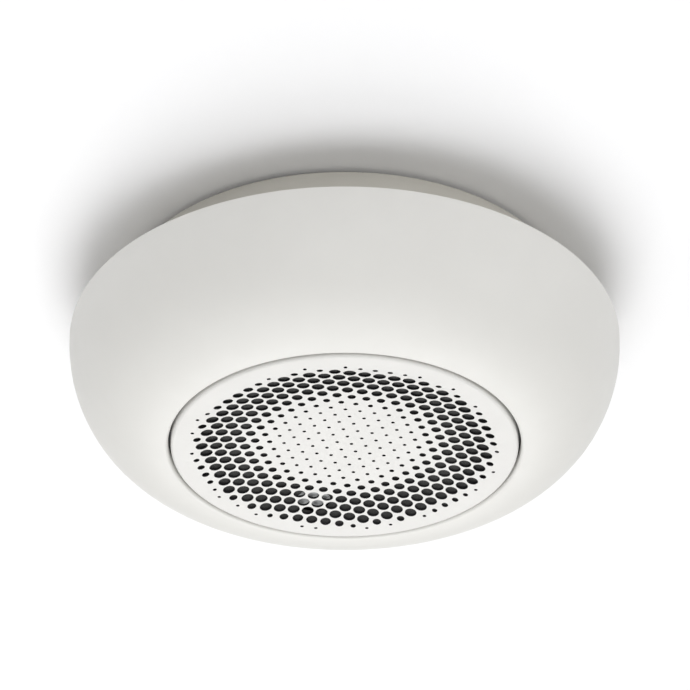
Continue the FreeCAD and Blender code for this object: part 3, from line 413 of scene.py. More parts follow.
FINISH_OF_SLOT = {
    "off_white_plastic": SHELL_WHITE, "warm_grey_plastic": NECK_GREY,
    "white_coated_steel": GRILLE_WHITE, "black_plastic": BLACK_PLASTIC, "black_cloth": CLOTH,
    "frosted_lens": LENS, "closed_foam": FOAM, "zinc_steel": ZINC, "ferrite": FERRITE,
    "paper_cone": CONE_PULP, "surround_rubber": RUBBER, "copper_coil": COPPER,
    "circuit_laminate": BOARD, "tinned_steel": TIN, "chip_black": CHIP_EPOXY,
    "connector_nylon": NYLON, "capacitor_sleeve": CAN_ALUMINIUM, "brass_contact": BRASS,
    "spring_steel": NICKEL, "cell_wrap": CELL_FILM, "lamp_white": LAMP_EPOXY,
    "grey_plastic": GREY_PLASTIC, "wire_sleeve": WIRE_PVC,
}


# ------------------------------------------------------------- mesh building
def circle_loop(radius: float, sides: int, centre: tuple[float, float] = (0.0, 0.0)) -> Loop:
    """Return the corners of a regular polygon, anticlockwise, from the +X side."""
    return [(centre[0] + radius * math.cos(FULL_TURN * step / sides),
             centre[1] + radius * math.sin(FULL_TURN * step / sides)) for step in range(sides)]


def slot_loop(length: float, radius: float, centre: tuple[float, float], sides: int = 24) -> Loop:
    """Return a slot with round ends that runs along X.

    Args:
        length: End-to-end length.
        radius: Half the slot's width.
        centre: Middle of the slot.
        sides: Corners of a full circle.

    Returns:
        The slot's corners.
    """
    shift = length / 2.0 - radius
    half = sides // 2
    corners = []
    for end, first in ((1.0, -0.25), (-1.0, 0.25)):
        for step in range(half + 1):
            angle = FULL_TURN * (first + step / sides)
            corners.append((centre[0] + end * shift + radius * math.cos(angle),
                            centre[1] + radius * math.sin(angle)))
    return corners


def turned_box(depth: float, width: float, radial: float, turn: float, across: float = 0.0) -> Loop:
    """Return a rectangle that starts at a radius and is turned about Z.

    Args:
        depth: Size along the radius.
        width: Size across the radius.
        radial: Radius of the inner side.
        turn: Angle about Z, in degrees.
        across: Sideways shift of the middle.

    Returns:
        The four corners.
    """
    cosine, sine = math.cos(math.radians(turn)), math.sin(math.radians(turn))
    flat = [(radial, across - width / 2), (radial + depth, across - width / 2),
            (radial + depth, across + width / 2), (radial, across + width / 2)]
    return [(x * cosine - y * sine, x * sine + y * cosine) for x, y in flat]


def sector_loop(inner: float, outer: float, start: float, span: float, sides: int = 12) -> Loop:
    """Return part of a ring.

    Args:
        inner: Inner radius.
        outer: Outer radius.
        start: Angle where it starts, in degrees.
        span: Angle that it covers, in degrees.
        sides: Steps along it.

    Returns:
        The corners, outer side first.
    """
    angles = [math.radians(start + span * step / sides) for step in range(sides + 1)]
    far = [(outer * math.cos(angle), outer * math.sin(angle)) for angle in angles]
    near = [(inner * math.cos(angle), inner * math.sin(angle)) for angle in reversed(angles)]
    return far + near


def arc(centre: tuple[float, float], radii: tuple[float, float], first: float, last: float,
        steps: int) -> Loop:
    """Return points on an ellipse's arc.

    Args:
        centre: Middle of the ellipse.
        radii: Its half width and half height.
        first: Angle of the first point, in degrees, 0 along +r.
        last: Angle of the last point.
        steps: Steps between the two.

    Returns:
        The points.
    """
    out = []
    for step in range(steps + 1):
        angle = math.radians(first + (last - first) * step / steps)
        out.append((centre[0] + radii[0] * math.cos(angle), centre[1] + radii[1] * math.sin(angle)))
    return out


def lathe(outline: Sequence[tuple[float, float]], sides: int, closed: bool = True) -> Shape:
    """Turn an outline of (radius, height) points about Z.

    Args:
        outline: The points; a radius of 0 becomes one pole.
        sides: Steps round the axis.
        closed: Whether the last point joins the first.

    Returns:
        Corners and faces.
    """
    corners: list[tuple[float, float, float]] = []
    rows: list[list[int]] = []
    for radius, height in outline:
        if radius < 1e-9:
            rows.append([len(corners)] * sides)
            corners.append((0.0, 0.0, height))
            continue
        rows.append(list(range(len(corners), len(corners) + sides)))
        for step in range(sides):
            angle = FULL_TURN * step / sides
            corners.append((radius * math.cos(angle), radius * math.sin(angle), height))
    faces: list[tuple[int, ...]] = []
    last = len(rows) if closed else len(rows) - 1
    for index in range(last):
        low, high = rows[index], rows[(index + 1) % len(rows)]
        for step in range(sides):
            after = (step + 1) % sides
            ring = [low[step], low[after], high[after], high[step]]
            kept = tuple(dict.fromkeys(ring))
            if len(kept) > 2:
                faces.append(kept)
    return corners, faces


def slab(outer: Loop, holes: Sequence[Loop], low: float, high: float,
         dimples: Sequence[Loop] = (), dimple_depth: float = 0.0) -> Shape:
    """Make a flat slab with holes through it and shallow dimples in its top.

    Args:
        outer: The outline.
        holes: Outlines of the holes.
        low: Height of the lower face.
        high: Height of the upper face.
        dimples: Outlines of the dimples.
        dimple_depth: Depth of the dimples.

    Returns:
        Corners and faces.
    """
    corners: list[tuple[float, float, float]] = []
    faces: list[tuple[int, ...]] = []

    def cap(loops: Sequence[Loop], height: float, upward: bool) -> list[list[int]]:
        """Fill between loops at one height and return each loop's corner numbers."""
        start = len(corners)
        numbers = []
        for loop in loops:
            numbers.append(list(range(len(corners), len(corners) + len(loop))))
            corners.extend((x, y, height) for x, y in loop)
        flat = [[Vector((x, y, 0.0)) for x, y in loop] for loop in loops]
        for triangle in tessellate_polygon(flat):
            ring = [start + number for number in triangle]
            a, b, c = (Vector(corners[number]) for number in ring)
            if ((b - a).cross(c - a).z > 0.0) != upward:
                ring.reverse()
            faces.append(tuple(ring))
        return numbers

    def wall(first: list[int], second: list[int]) -> None:
        """Join two loops of corner numbers with a band of faces."""
        for step in range(len(first)):
            after = (step + 1) % len(first)
            faces.append((first[step], first[after], second[after], second[step]))

    below = cap([outer, *holes], low, False)
    above = cap([outer, *holes, *dimples], high, True)
    for first, second in zip(below, above):
        wall(first, second)
    for rim, loop in zip(above[1 + len(holes):], dimples):
        wall(cap([loop], high - dimple_depth, True)[0], rim)
    return corners, faces


def downward(spots: Sequence[tuple[float, float, float]], ring: Sequence[int]) -> tuple[int, ...]:
    """Return a level triangle's corners in the order that makes it face down."""
    a, b, c = (Vector(spots[number]) for number in ring)
    return tuple(reversed(ring)) if (b - a).cross(c - a).z > 0.0 else tuple(ring)


def joined(shapes: Sequence[Shape]) -> Shape:
    """Put several shapes into one list of corners and faces.

    Args:
        shapes: The shapes; where they touch, nothing is cut away.

    Returns:
        Corners and faces.
    """
    corners: list[tuple[float, float, float]] = []
    faces: list[tuple[int, ...]] = []
    for more_corners, more_faces in shapes:
        start = len(corners)
        corners.extend(more_corners)
        faces.extend(tuple(number + start for number in face) for face in more_faces)
    return corners, faces


def seal(mesh: bpy.types.Mesh) -> None:
    """Merge a mesh's doubles and work out its normals again."""
    work = bmesh.new()
    work.from_mesh(mesh)
    bmesh.ops.remove_doubles(work, verts=work.verts, dist=0.002 * MM)
    bmesh.ops.recalc_face_normals(work, faces=work.faces)
    work.to_mesh(mesh)
    work.free()


def smooth(mesh: bpy.types.Mesh, sharp: float) -> None:
    """Shade a mesh smooth, apart from edges sharper than an angle in degrees."""
    mesh.shade_smooth()
    mesh.set_sharp_from_angle(angle=math.radians(sharp))


def solid_mesh(name: str, shape: Shape) -> bpy.types.Mesh:
    """Make a smooth-shaded mesh in metres from a shape in millimetres.

    Args:
        name: The mesh's name.
        shape: Corners and faces.

    Returns:
        The mesh, its doubles merged.  The normals point outwards where every
        edge has two faces; edges with three or four can mislead them.
    """
    corners, faces = shape
    mesh = bpy.data.meshes.new(name)
    mesh.from_pydata([tuple(value * MM for value in corner) for corner in corners], [], faces)
    seal(mesh)
    smooth(mesh, 32.0)
    return mesh


def new_object(name: str, mesh: bpy.types.Mesh) -> bpy.types.Object:
    """Put a mesh into the scene at the origin."""
    made = bpy.data.objects.new(name, mesh)
    bpy.context.scene.collection.objects.link(made)
    return made


def dress(mesh: bpy.types.Mesh, finish: Finish) -> None:
    """Give a mesh one finish and no other."""
    mesh.materials.clear()
    mesh.materials.append(finish.build())


def settle(piece: bpy.types.Object, body: str, slot: str, *nodes: str) -> None:
    """Fix a finished piece to its body and hide the CAD nodes that it replaces.

    Args:
        piece: The finished piece.
        body: The CAD body that it moves with.
        slot: The record's material slot; not used.
        nodes: CAD nodes that it replaces.
    """
    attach(piece, body)
    if nodes:
        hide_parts(*nodes)
    LOG.info("%s: %d faces on %s", piece.name, len(piece.data.polygons), body)


# ------------------------------------------------------------ geometry nodes
class NodeTool:
    """A geometry-node tree with named inputs, run once and turned to a mesh."""

    def __init__(self, name: str, sizes: dict[str, float], counts: dict[str, int],
                 materials: Sequence[str]) -> None:
        """Make the tree and its sockets.

        Args:
            name: The tree's name.
            sizes: Names of the decimal inputs and their values.
            counts: Names of the whole-number inputs and their values.
            materials: Names of the material inputs.
        """
        self.tree = bpy.data.node_groups.new(name, "GeometryNodeTree")
        self.tree.is_modifier = True
        self.sockets: dict[str, str] = {}
        self.values: dict[str, float | int] = {}
        face = self.tree.interface
        face.new_socket(name="Geometry", in_out="INPUT", socket_type="NodeSocketGeometry")
        face.new_socket(name="Geometry", in_out="OUTPUT", socket_type="NodeSocketGeometry")
        for kind, table in (("NodeSocketFloat", sizes), ("NodeSocketInt", counts)):
            for label, value in table.items():
                socket = face.new_socket(name=label, in_out="INPUT", socket_type=kind)
                self.sockets[label] = socket.identifier
                self.values[label] = value
        for label in materials:
            socket = face.new_socket(name=label, in_out="INPUT", socket_type="NodeSocketMaterial")
            self.sockets[label] = socket.identifier
        self.entry = self.tree.nodes.new("NodeGroupInput")
        self.exit = self.tree.nodes.new("NodeGroupOutput")

    def add(self, kind: str, settings: dict | None = None, inputs: dict | None = None
            ) -> bpy.types.Node:
        """Add a node to this tree."""
        return add_node(self.tree, kind, settings, inputs)

    def value(self, label: str) -> bpy.types.NodeSocket:
        """Return the output that carries a named input."""
        return self.entry.outputs[label]

    def math(self, operation: str, *terms: object) -> bpy.types.NodeSocket:
        """Add a sum, product or other operation and return its result."""
        return calc(self.tree, operation, *terms)

    def run(self, thing: bpy.types.Object, materials: dict[str, bpy.types.Material]) -> None:
        """Run the tree on an object and keep the result as its plain mesh.

        Args:
            thing: The object that gets the result.
            materials: Material inputs by name.
        """
        modifier = thing.modifiers.new(self.tree.name, "NODES")
        modifier.node_group = self.tree
        for label, value in {**self.values, **materials}.items():
            modifier[self.sockets[label]] = value
        graph = bpy.context.evaluated_depsgraph_get()
        result = bpy.data.meshes.new_from_object(thing.evaluated_get(graph), depsgraph=graph)
        thing.modifiers.clear()
        result.name = thing.name
        thing.data = result


def ring_of_copies(thing: bpy.types.Object, count: int, orbit_mm: float, first: float,
                   material: bpy.types.Material) -> None:
    """Repeat an object's mesh round Z with geometry nodes.

    Args:
        thing: The object; its mesh is the copy that stands at the origin.
        count: Number of copies.
        orbit_mm: Distance of the copies from the axis.
        first: Angle of the first copy, in degrees.
        material: The copies' material.
    """
    tool = NodeTool(f"{thing.name}_ring", {
        "Orbit": orbit_mm * MM, "First Angle": math.radians(first),
        "Step": math.radians(360.0 / count)}, {"Count": count}, ["Material"])
    index = tool.add("GeometryNodeInputIndex").outputs["Index"]
    angle = tool.math("ADD", tool.math("MULTIPLY", index, tool.value("Step")),
                      tool.value("First Angle"))
    place = tool.add("ShaderNodeCombineXYZ", inputs={
        "X": tool.math("MULTIPLY", tool.math("COSINE", angle), tool.value("Orbit")),
        "Y": tool.math("MULTIPLY", tool.math("SINE", angle), tool.value("Orbit"))})
    points = tool.add("GeometryNodePoints", inputs={
        "Count": tool.value("Count"), "Position": place.outputs["Vector"]})
    turn = tool.add("ShaderNodeCombineXYZ", inputs={"Z": angle})
    copies = tool.add("GeometryNodeInstanceOnPoints", inputs={
        "Points": points.outputs["Points"], "Instance": tool.value("Geometry"),
        "Rotation": turn.outputs["Vector"]})
    real = tool.add("GeometryNodeRealizeInstances", inputs={
        "Geometry": copies.outputs["Instances"]})
    painted = tool.add("GeometryNodeSetMaterial", inputs={
        "Geometry": real.outputs["Geometry"], "Material": tool.value("Material")})
    tool.tree.links.new(painted.outputs["Geometry"], tool.exit.inputs["Geometry"])
    tool.run(thing, {"Material": material})


# ---------------------------------------------------------------- front shell
@dataclass(frozen=True)
class BossRing:
    """Four equal tubes that take screws; the angle of the first is in degrees."""

    name: str
    orbit_mm: float
    radius_mm: float
    bore_mm: float
    low_mm: float
    high_mm: float
    first: float


@dataclass
class FrontShell:
    """The domed shell: two quarter ellipses, a crisp rim and a rounded lip."""

    mid_mm: float = 45.0
    half_width_mm: float = 25.0
    half_height_mm: float = 30.0
    centre_height_mm: float = -15.0
    rim_height_mm: float = -14.4
    wall_mm: float = 2.2
    opening_mm: float = 44.1
    lip_mm: float = 0.9
    rim_edge_mm: float = 0.25
    sides: int = 288
    bosses: tuple[BossRing, ...] = (
        BossRing("shell_tray_bosses", 61.0, 3.5, 1.5, -33.0, -19.0, 0.0),
        BossRing("shell_baffle_bosses", 52.5, 3.0, 1.2, -41.5, -38.2, 45.0))

    def outline(self) -> Loop:
        """Return the closed section of the shell."""
        centre = (self.mid_mm, self.centre_height_mm)
        outside = arc(centre, (self.half_width_mm, self.half_height_mm), -90.0, 0.0, 48)
        inside = arc(centre, (self.half_width_mm - self.wall_mm,
                              self.half_height_mm - self.wall_mm), 0.0, -90.0, 24)
        outer = self.mid_mm + self.half_width_mm
        inner = outer - self.wall_mm
        edge = self.rim_edge_mm
        rim = arc((outer - edge, self.rim_height_mm - edge), (edge, edge), 0.0, 90.0, 4)
        rim += [(inner, self.rim_height_mm)]
        low = self.centre_height_mm - self.half_height_mm
        lip = arc((self.opening_mm + self.lip_mm, low + self.lip_mm), (self.lip_mm, self.lip_mm),
                  180.0, 270.0, 8)
        return outside + rim + inside + [(self.opening_mm, low + self.wall_mm)] + lip[:-1]

    def build(self) -> None:
        """Build the shell with its screw bosses."""
        section = lathe(self.outline(), self.sides)
        skin = new_object("shell_skin", solid_mesh("shell_skin", section))
        dress(skin.data, SHELL_WHITE)
        settle(skin, UNIT_BODY, "off_white_plastic", "front_shell")
        for ring in self.bosses:
            tube = slab(circle_loop(ring.radius_mm, 32), [circle_loop(ring.bore_mm, 24)],
                        ring.low_mm, ring.high_mm)
            made = new_object(ring.name, solid_mesh(ring.name, tube))
            ring_of_copies(made, 4, ring.orbit_mm, ring.first, SHELL_WHITE.build())
            settle(made, UNIT_BODY, "off_white_plastic")


# --------------------------------------------------------------------- grille
@dataclass
class Grille:
    """The dished disc with holes that grow towards its edge, and its skirt."""

    radius_mm: float = 43.46
    rim_mm: float = -45.26
    depth_mm: float = 2.92
    turn_mm: float = 24.0
    middle_curve: float = 0.001302
    flank_curve: float = 0.004941
    sheet_mm: float = 0.6
    edge_mm: float = 0.86
    skirt_top_mm: float = -41.6
    pitch_mm: float = 3.693
    row_turn: float = 13.93
    phase_along: float = 0.533
    phase_across: float = 0.235
    small_mm: float = 0.46
    large_mm: float = 1.56
    growth: tuple[float, float] = (14.8, 28.8)
    fade: tuple[float, float] = (35.3, 38.6)
    limit_mm: float = 39.2
    sides: int = 240
    hole_sides: int = 28
    columns: int = 37
    cloth_gap_mm: float = 0.05
    cloth_mm: float = 0.25
    cloth_radius_mm: float = 41.0
    cloth_edge_mm: float = 6.0

    def knee_mm(self) -> float:
        """Return the radius where the dish turns into the rolled edge."""
        return self.radius_mm - self.edge_mm

    def height(self, radius: float) -> float:
        """Return the height of the dish's face, in millimetres, at a radius."""
        flank = max(radius - self.turn_mm, 0.0)
        fall = self.middle_curve * radius * radius + self.flank_curve * flank * flank
        return self.rim_mm + max(self.depth_mm - fall, 0.0)

    def tool(self) -> NodeTool:
        """Return the tree that pierces, dishes and thickens the disc."""
        tool = NodeTool("perforated_dish", {
            "Pitch": self.pitch_mm, "Row Turn": math.radians(self.row_turn),
            "Phase Along": self.phase_along, "Phase Across": self.phase_across,
            "Small Radius": self.small_mm, "Large Radius": self.large_mm,
            "Growth Start": self.growth[0], "Growth End": self.growth[1],
            "Fade Start": self.fade[0], "Fade End": self.fade[1], "Limit": self.limit_mm,
            "Edge Radius": self.knee_mm(), "Rim Height": self.rim_mm, "Depth": self.depth_mm,
            "Turn Radius": self.turn_mm, "Middle Curve": self.middle_curve,
            "Flank Curve": self.flank_curve, "Sheet": self.sheet_mm}, {
            "Columns": self.columns, "Hole Sides": self.hole_sides, "Edge Sides": self.sides},
            ["Face", "Back"])
        index = tool.add("GeometryNodeInputIndex").outputs["Index"]
        columns = tool.value("Columns")
        half = tool.math("FLOOR", tool.math("DIVIDE", columns, 2.0))
        row = tool.math("SUBTRACT", tool.math("FLOOR", tool.math("DIVIDE", index, columns)), half)
        column = tool.math("SUBTRACT", tool.math("MODULO", index, columns), half)
        along = tool.math("MULTIPLY", tool.math("ADD", tool.math("ADD", column, tool.value(
            "Phase Along")), tool.math("MULTIPLY", row, 0.5)), tool.value("Pitch"))
        across = tool.math("MULTIPLY", tool.math("MULTIPLY", tool.math("ADD", row, tool.value(
            "Phase Across")), tool.value("Pitch")), math.sqrt(3.0) / 2.0)
        flat = tool.add("ShaderNodeCombineXYZ", inputs={"X": along, "Y": across})
        turned = tool.add("ShaderNodeVectorRotate", {"rotation_type": "Z_AXIS"}, {
            "Vector": flat.outputs["Vector"], "Angle": tool.value("Row Turn")})
        points = tool.add("GeometryNodePoints", inputs={
            "Count": tool.math("MULTIPLY", columns, columns),
            "Position": turned.outputs["Vector"]})
        place = tool.add("GeometryNodeInputPosition").outputs["Position"]
        distance = tool.add("ShaderNodeVectorMath", {"operation": "LENGTH"}, {
            0: place}).outputs["Value"]
        kept = tool.add("GeometryNodeDeleteGeometry", {"domain": "POINT"}, {
            "Geometry": points.outputs["Points"],
            "Selection": tool.math("GREATER_THAN", distance, tool.value("Limit"))})
        growth = tool.add("ShaderNodeMapRange", {"interpolation_type": "SMOOTHSTEP"}, {
            "Value": distance, "From Min": tool.value("Growth Start"),
            "From Max": tool.value("Growth End")}).outputs["Result"]
        fade = tool.add("ShaderNodeMapRange", {"interpolation_type": "SMOOTHSTEP"}, {
            "Value": distance, "From Min": tool.value("Fade Start"),
            "From Max": tool.value("Fade End"), "To Min": 1.0, "To Max": 0.0}).outputs["Result"]
        spread = tool.math("SUBTRACT", tool.value("Large Radius"), tool.value("Small Radius"))
        radius = tool.math("ADD", tool.value("Small Radius"), tool.math(
            "MULTIPLY", spread, tool.math("MULTIPLY", growth, fade)))
        hole = tool.add("GeometryNodeCurvePrimitiveCircle", inputs={
            "Resolution": tool.value("Hole Sides"), "Radius": 1.0})
        holes = tool.add("GeometryNodeInstanceOnPoints", inputs={
            "Points": kept.outputs["Geometry"], "Instance": hole.outputs["Curve"],
            "Scale": radius})
        cut_holes = tool.add("GeometryNodeRealizeInstances", inputs={
            "Geometry": holes.outputs["Instances"]})
        edge = tool.add("GeometryNodeCurvePrimitiveCircle", inputs={
            "Resolution": tool.value("Edge Sides"), "Radius": tool.value("Edge Radius")})
        loops = tool.add("GeometryNodeJoinGeometry")
        for part in (edge.outputs["Curve"], cut_holes.outputs["Geometry"]):
            tool.tree.links.new(part, loops.inputs[0])
        sheet = tool.add("GeometryNodeFillCurve", inputs={"Curve": loops.outputs["Geometry"]})
        middle = tool.math("MULTIPLY", tool.math("MULTIPLY", distance, distance),
                           tool.value("Middle Curve"))
        past = tool.math("MAXIMUM", tool.math("SUBTRACT", distance, tool.value("Turn Radius")), 0.0)
        flank = tool.math("MULTIPLY", tool.math("MULTIPLY", past, past), tool.value("Flank Curve"))
        fall = tool.math("ADD", middle, flank)
        rise = tool.math("MAXIMUM", tool.math("SUBTRACT", tool.value("Depth"), fall), 0.0)
        lift = tool.add("ShaderNodeCombineXYZ", inputs={
            "Z": tool.math("ADD", rise, tool.value("Rim Height"))})
        dish = tool.add("GeometryNodeSetPosition", inputs={
            "Geometry": sheet.outputs["Mesh"], "Offset": lift.outputs["Vector"]})
        thickness = tool.add("ShaderNodeCombineXYZ", inputs={"Z": tool.value("Sheet")})
        raised = tool.add("GeometryNodeExtrudeMesh", {"mode": "FACES"}, {
            "Mesh": dish.outputs["Geometry"], "Offset": thickness.outputs["Vector"],
            "Offset Scale": 1.0, "Individual": False})
        face = tool.add("GeometryNodeFlipFaces", inputs={"Mesh": dish.outputs["Geometry"]})
        # The back and the hole walls take the black finish, which paints the shade inside the holes.
        backed = tool.add("GeometryNodeSetMaterial", inputs={
            "Geometry": raised.outputs["Mesh"], "Material": tool.value("Back")})
        faced = tool.add("GeometryNodeSetMaterial", inputs={
            "Geometry": face.outputs["Mesh"], "Material": tool.value("Face")})
        both = tool.add("GeometryNodeJoinGeometry")
        for part in (backed.outputs["Geometry"], faced.outputs["Geometry"]):
            tool.tree.links.new(part, both.inputs[0])
        small = tool.add("GeometryNodeTransform", inputs={
            "Geometry": both.outputs["Geometry"], "Scale": (MM, MM, MM)})
        real = tool.add("GeometryNodeRealizeInstances", inputs={
            "Geometry": small.outputs["Geometry"]})
        tool.tree.links.new(real.outputs["Geometry"], tool.exit.inputs["Geometry"])
        return tool

    def rolled_edge(self) -> Shape:
        """Return the open band from the dish's face over the edge and up the skirt."""
        knee, edge = self.knee_mm(), self.edge_mm
        inside = edge - self.sheet_mm
        low = self.rim_mm + edge
        outer = arc((knee, low), (edge, edge), -90.0, 0.0, 10)
        inner = arc((knee, low), (inside, inside), 0.0, -90.0, 6)
        top = self.skirt_top_mm
        return lathe(outer + [(self.radius_mm, top), (self.radius_mm - self.sheet_mm, top)] + inner,
                     self.sides, closed=False)

    def build(self) -> None:
        """Build the pierced dish and its skirt as one closed sheet."""
        disc = new_object("grille_sheet", bpy.data.meshes.new("grille_sheet"))
        self.tool().run(disc, {"Face": GRILLE_WHITE.build(), "Back": GRILLE_BLACK_AND_HOLE_SHADE.build()})
        names = [item.name for item in disc.data.materials]
        face, back = names.index(GRILLE_WHITE.name), names.index(GRILLE_BLACK_AND_HOLE_SHADE.name)
        work = bmesh.new()
        work.from_mesh(disc.data)
        wall = (self.knee_mm() - 0.02) * MM
        loose = [item for item in work.faces
                 if abs(item.normal.z) < 0.5 and item.calc_center_median().xy.length > wall]
        bmesh.ops.delete(work, geom=loose, context="FACES")
        corners, faces = self.rolled_edge()
        made = [work.verts.new([value * MM for value in corner]) for corner in corners]
        steps = len(faces) // self.sides
        for number, ring in enumerate(faces):
            item = work.faces.new([made[corner] for corner in ring])
            item.material_index = face if number // self.sides < steps - 8 else back
        bmesh.ops.remove_doubles(work, verts=work.verts, dist=0.004 * MM)
        bmesh.ops.recalc_face_normals(work, faces=work.faces)
        work.to_mesh(disc.data)
        work.free()
        smooth(disc.data, 35.0)
        settle(disc, UNIT_BODY, "white_coated_steel", "grille")
        self.build_cloth()

    def build_cloth(self) -> None:
        """Build the cloth that lies against the back of the dish."""
        lens = StatusLamp()
        across, along = lens.centre()
        window = circle_loop(lens.radius_mm, 36, (across, along - lens.margin_mm))
        shape = slab(circle_loop(self.cloth_radius_mm, 96), [window], 0.0, self.cloth_mm)
        cloth = new_object("grille_cloth", solid_mesh("grille_cloth", shape))
        work = bmesh.new()
        work.from_mesh(cloth.data)
        for _ in range(3):
            long = [edge for edge in work.edges if edge.calc_length() > self.cloth_edge_mm * MM]
            bmesh.ops.subdivide_edges(work, edges=long, cuts=1)
        bmesh.ops.triangulate(work, faces=work.faces)
        for corner in work.verts:
            reach = corner.co.xy.length / MM
            corner.co.z += (self.height(reach) + self.sheet_mm + self.cloth_gap_mm) * MM
        work.to_mesh(cloth.data)
        work.free()
        smooth(cloth.data, 35.0)
        dress(cloth.data, CLOTH)
        settle(cloth, UNIT_BODY, "black_cloth", "acoustic_mesh")


# --------------------------------------------------------------- rear housing
@dataclass
class RearHousing:
    """The neck, its back panel with cell bays, and the hidden flange."""

    neck_mm: float = 57.6
    wall_mm: float = 2.4
    top_mm: float = -0.8
    edge_mm: float = 0.6
    panel_top_mm: float = -5.0
    panel_low_mm: float = -7.0
    flange_mm: float = 67.2
    flange_top_mm: float = -17.0
    flange_low_mm: float = -19.0
    bay_inner_mm: float = 29.3
    bay_depth_mm: float = 17.4
    bay_length_mm: float = 38.5
    bay_wall_mm: float = 1.2
    bay_floor_mm: float = -24.6
    button_orbit_mm: float = 40.0
    plunger_bore_mm: float = 2.3
    button_bore_mm: float = 3.5
    hook_way_mm: tuple[float, float] = (48.2, 50.3)
    hook_way: tuple[float, float] = (-13.6, 18.4)
    hook_entry_mm: tuple[float, float] = (48.2, 52.7)
    hook_entry: tuple[float, float] = (4.9, 9.2)
    boss_orbit_mm: float = 58.5
    boss_mm: float = 3.0
    boss_bore_mm: float = 1.3
    boss_low_mm: float = -26.6
    sides: int = 240

    def build(self) -> None:
        """Build the housing as one piece; its bays touch the panel and aren't cut into it."""
        inner = self.neck_mm - self.wall_mm
        rounding = arc((self.neck_mm - self.edge_mm, self.top_mm - self.edge_mm),
                       (self.edge_mm, self.edge_mm), 90.0, 0.0, 5)
        foot, foot_middle, rim = 0.5, 0.15, 0.3
        top = self.flange_top_mm
        neck = lathe([(inner, self.top_mm)] + rounding + [
            (self.neck_mm, top + foot), (self.neck_mm + foot_middle, top + foot_middle),
            (self.neck_mm + foot, top), (self.flange_mm - rim, top), (self.flange_mm, top - rim),
            (self.flange_mm, self.flange_low_mm), (inner, self.flange_low_mm)], self.sides)
        windows = [turned_box(self.bay_depth_mm, self.bay_length_mm, self.bay_inner_mm, turn)
                   for turn in BAY_TURNS]
        slots = [sector_loop(*self.hook_way_mm, turn + self.hook_way[0], self.hook_way[1], 12)
                 for turn in QUARTER_TURNS]
        entries = [sector_loop(*self.hook_entry_mm, turn + self.hook_entry[0],
                               self.hook_entry[1], 8) for turn in QUARTER_TURNS]
        buttons = [circle_loop(self.plunger_bore_mm, 28, (self.button_orbit_mm, 0.0)),
                   circle_loop(self.button_bore_mm, 32, (-self.button_orbit_mm, 0.0))]
        panel = slab(circle_loop(inner, self.sides), windows + slots + entries + buttons,
                     self.panel_low_mm, self.panel_top_mm)
        parts = [neck, panel]
        for window, turn in zip(windows, BAY_TURNS):
            bay = turned_box(self.bay_depth_mm + 2 * self.bay_wall_mm,
                             self.bay_length_mm + 2 * self.bay_wall_mm,
                             self.bay_inner_mm - self.bay_wall_mm, turn)
            parts.append(slab(bay, [window], self.bay_floor_mm, self.panel_low_mm))
            parts.append(slab(bay, [], self.bay_floor_mm - self.bay_wall_mm, self.bay_floor_mm))
            boss = (self.boss_orbit_mm * math.cos(math.radians(turn)),
                    self.boss_orbit_mm * math.sin(math.radians(turn)))
            parts.append(slab(circle_loop(self.boss_mm, 28, boss),
                              [circle_loop(self.boss_bore_mm, 20, boss)],
                              self.boss_low_mm, self.flange_low_mm))
        housing = new_object("neck_and_tray", solid_mesh("neck_and_tray", joined(parts)))
        dress(housing.data, NECK_GREY)
        settle(housing, UNIT_BODY, "warm_grey_plastic", "rear_housing")


# -------------------------------------------------------------- ceiling plate
@dataclass
class CeilingPlate:
    """The plate that stays on the ceiling, with its four bayonet hooks."""

    radius_mm: float = 54.0
    thickness_mm: float = 1.6
    edge_mm: float = 0.3
    slot_spacing_mm: float = 60.0
    slot_length_mm: float = 12.0
    slot_radius_mm: float = 2.25
    pin_mark_mm: float = 2.5
    pin_orbit_mm: float = 45.0
    pin_marks: int = 8
    gate_mark_mm: float = 3.5
    mark_depth_mm: float = 0.15
    rib_mm: tuple[float, float] = (45.5, 47.0)
    rib_low_mm: float = -3.2
    hook_mm: tuple[float, float] = (48.5, 50.0)
    hook_tip_mm: float = 52.3
    hook_tip_top_mm: float = -7.3
    hook_low_mm: float = -8.9
    hook_start: float = -13.0
    hook_span: float = 8.0
    sides: int = 192

    def build(self) -> None:
        """Build the plate with the marks that its mould leaves."""
        half = self.slot_spacing_mm / 2.0
        holes = [slot_loop(self.slot_length_mm, self.slot_radius_mm, (side * half, 0.0))
                 for side in (1.0, -1.0)]
        holes += [circle_loop(self.slot_radius_mm, 32, (0.0, side * half)) for side in (1.0, -1.0)]
        orbit, low = self.pin_orbit_mm, -self.thickness_mm
        marks = []
        for step in range(self.pin_marks):
            angle = FULL_TURN * (step + 0.5) / self.pin_marks
            spot = (orbit * math.cos(angle), orbit * math.sin(angle))
            marks.append(circle_loop(self.pin_mark_mm, 24, spot))
        marks.append(circle_loop(self.gate_mark_mm, 32))
        disc = slab(circle_loop(self.radius_mm, self.sides), holes, low, 0.0,
                    marks, self.mark_depth_mm)
        inner, outer = self.rib_mm
        rib = lathe([(inner, low), (outer, low), (outer, self.rib_low_mm),
                     (inner, self.rib_low_mm)], self.sides)
        parts = [disc, rib]
        for turn in QUARTER_TURNS:
            start = turn + self.hook_start
            stem = sector_loop(*self.hook_mm, start, self.hook_span)
            tip = sector_loop(self.hook_mm[0], self.hook_tip_mm, start, self.hook_span)
            parts.append(slab(stem, [], self.hook_tip_top_mm, low))
            parts.append(slab(tip, [], self.hook_low_mm, self.hook_tip_top_mm))
        plate = new_object("plate_with_hooks", solid_mesh("plate_with_hooks", joined(parts)))
        dress(plate.data, NECK_GREY)
        settle(plate, PLATE_BODY, "warm_grey_plastic", "ceiling_plate")


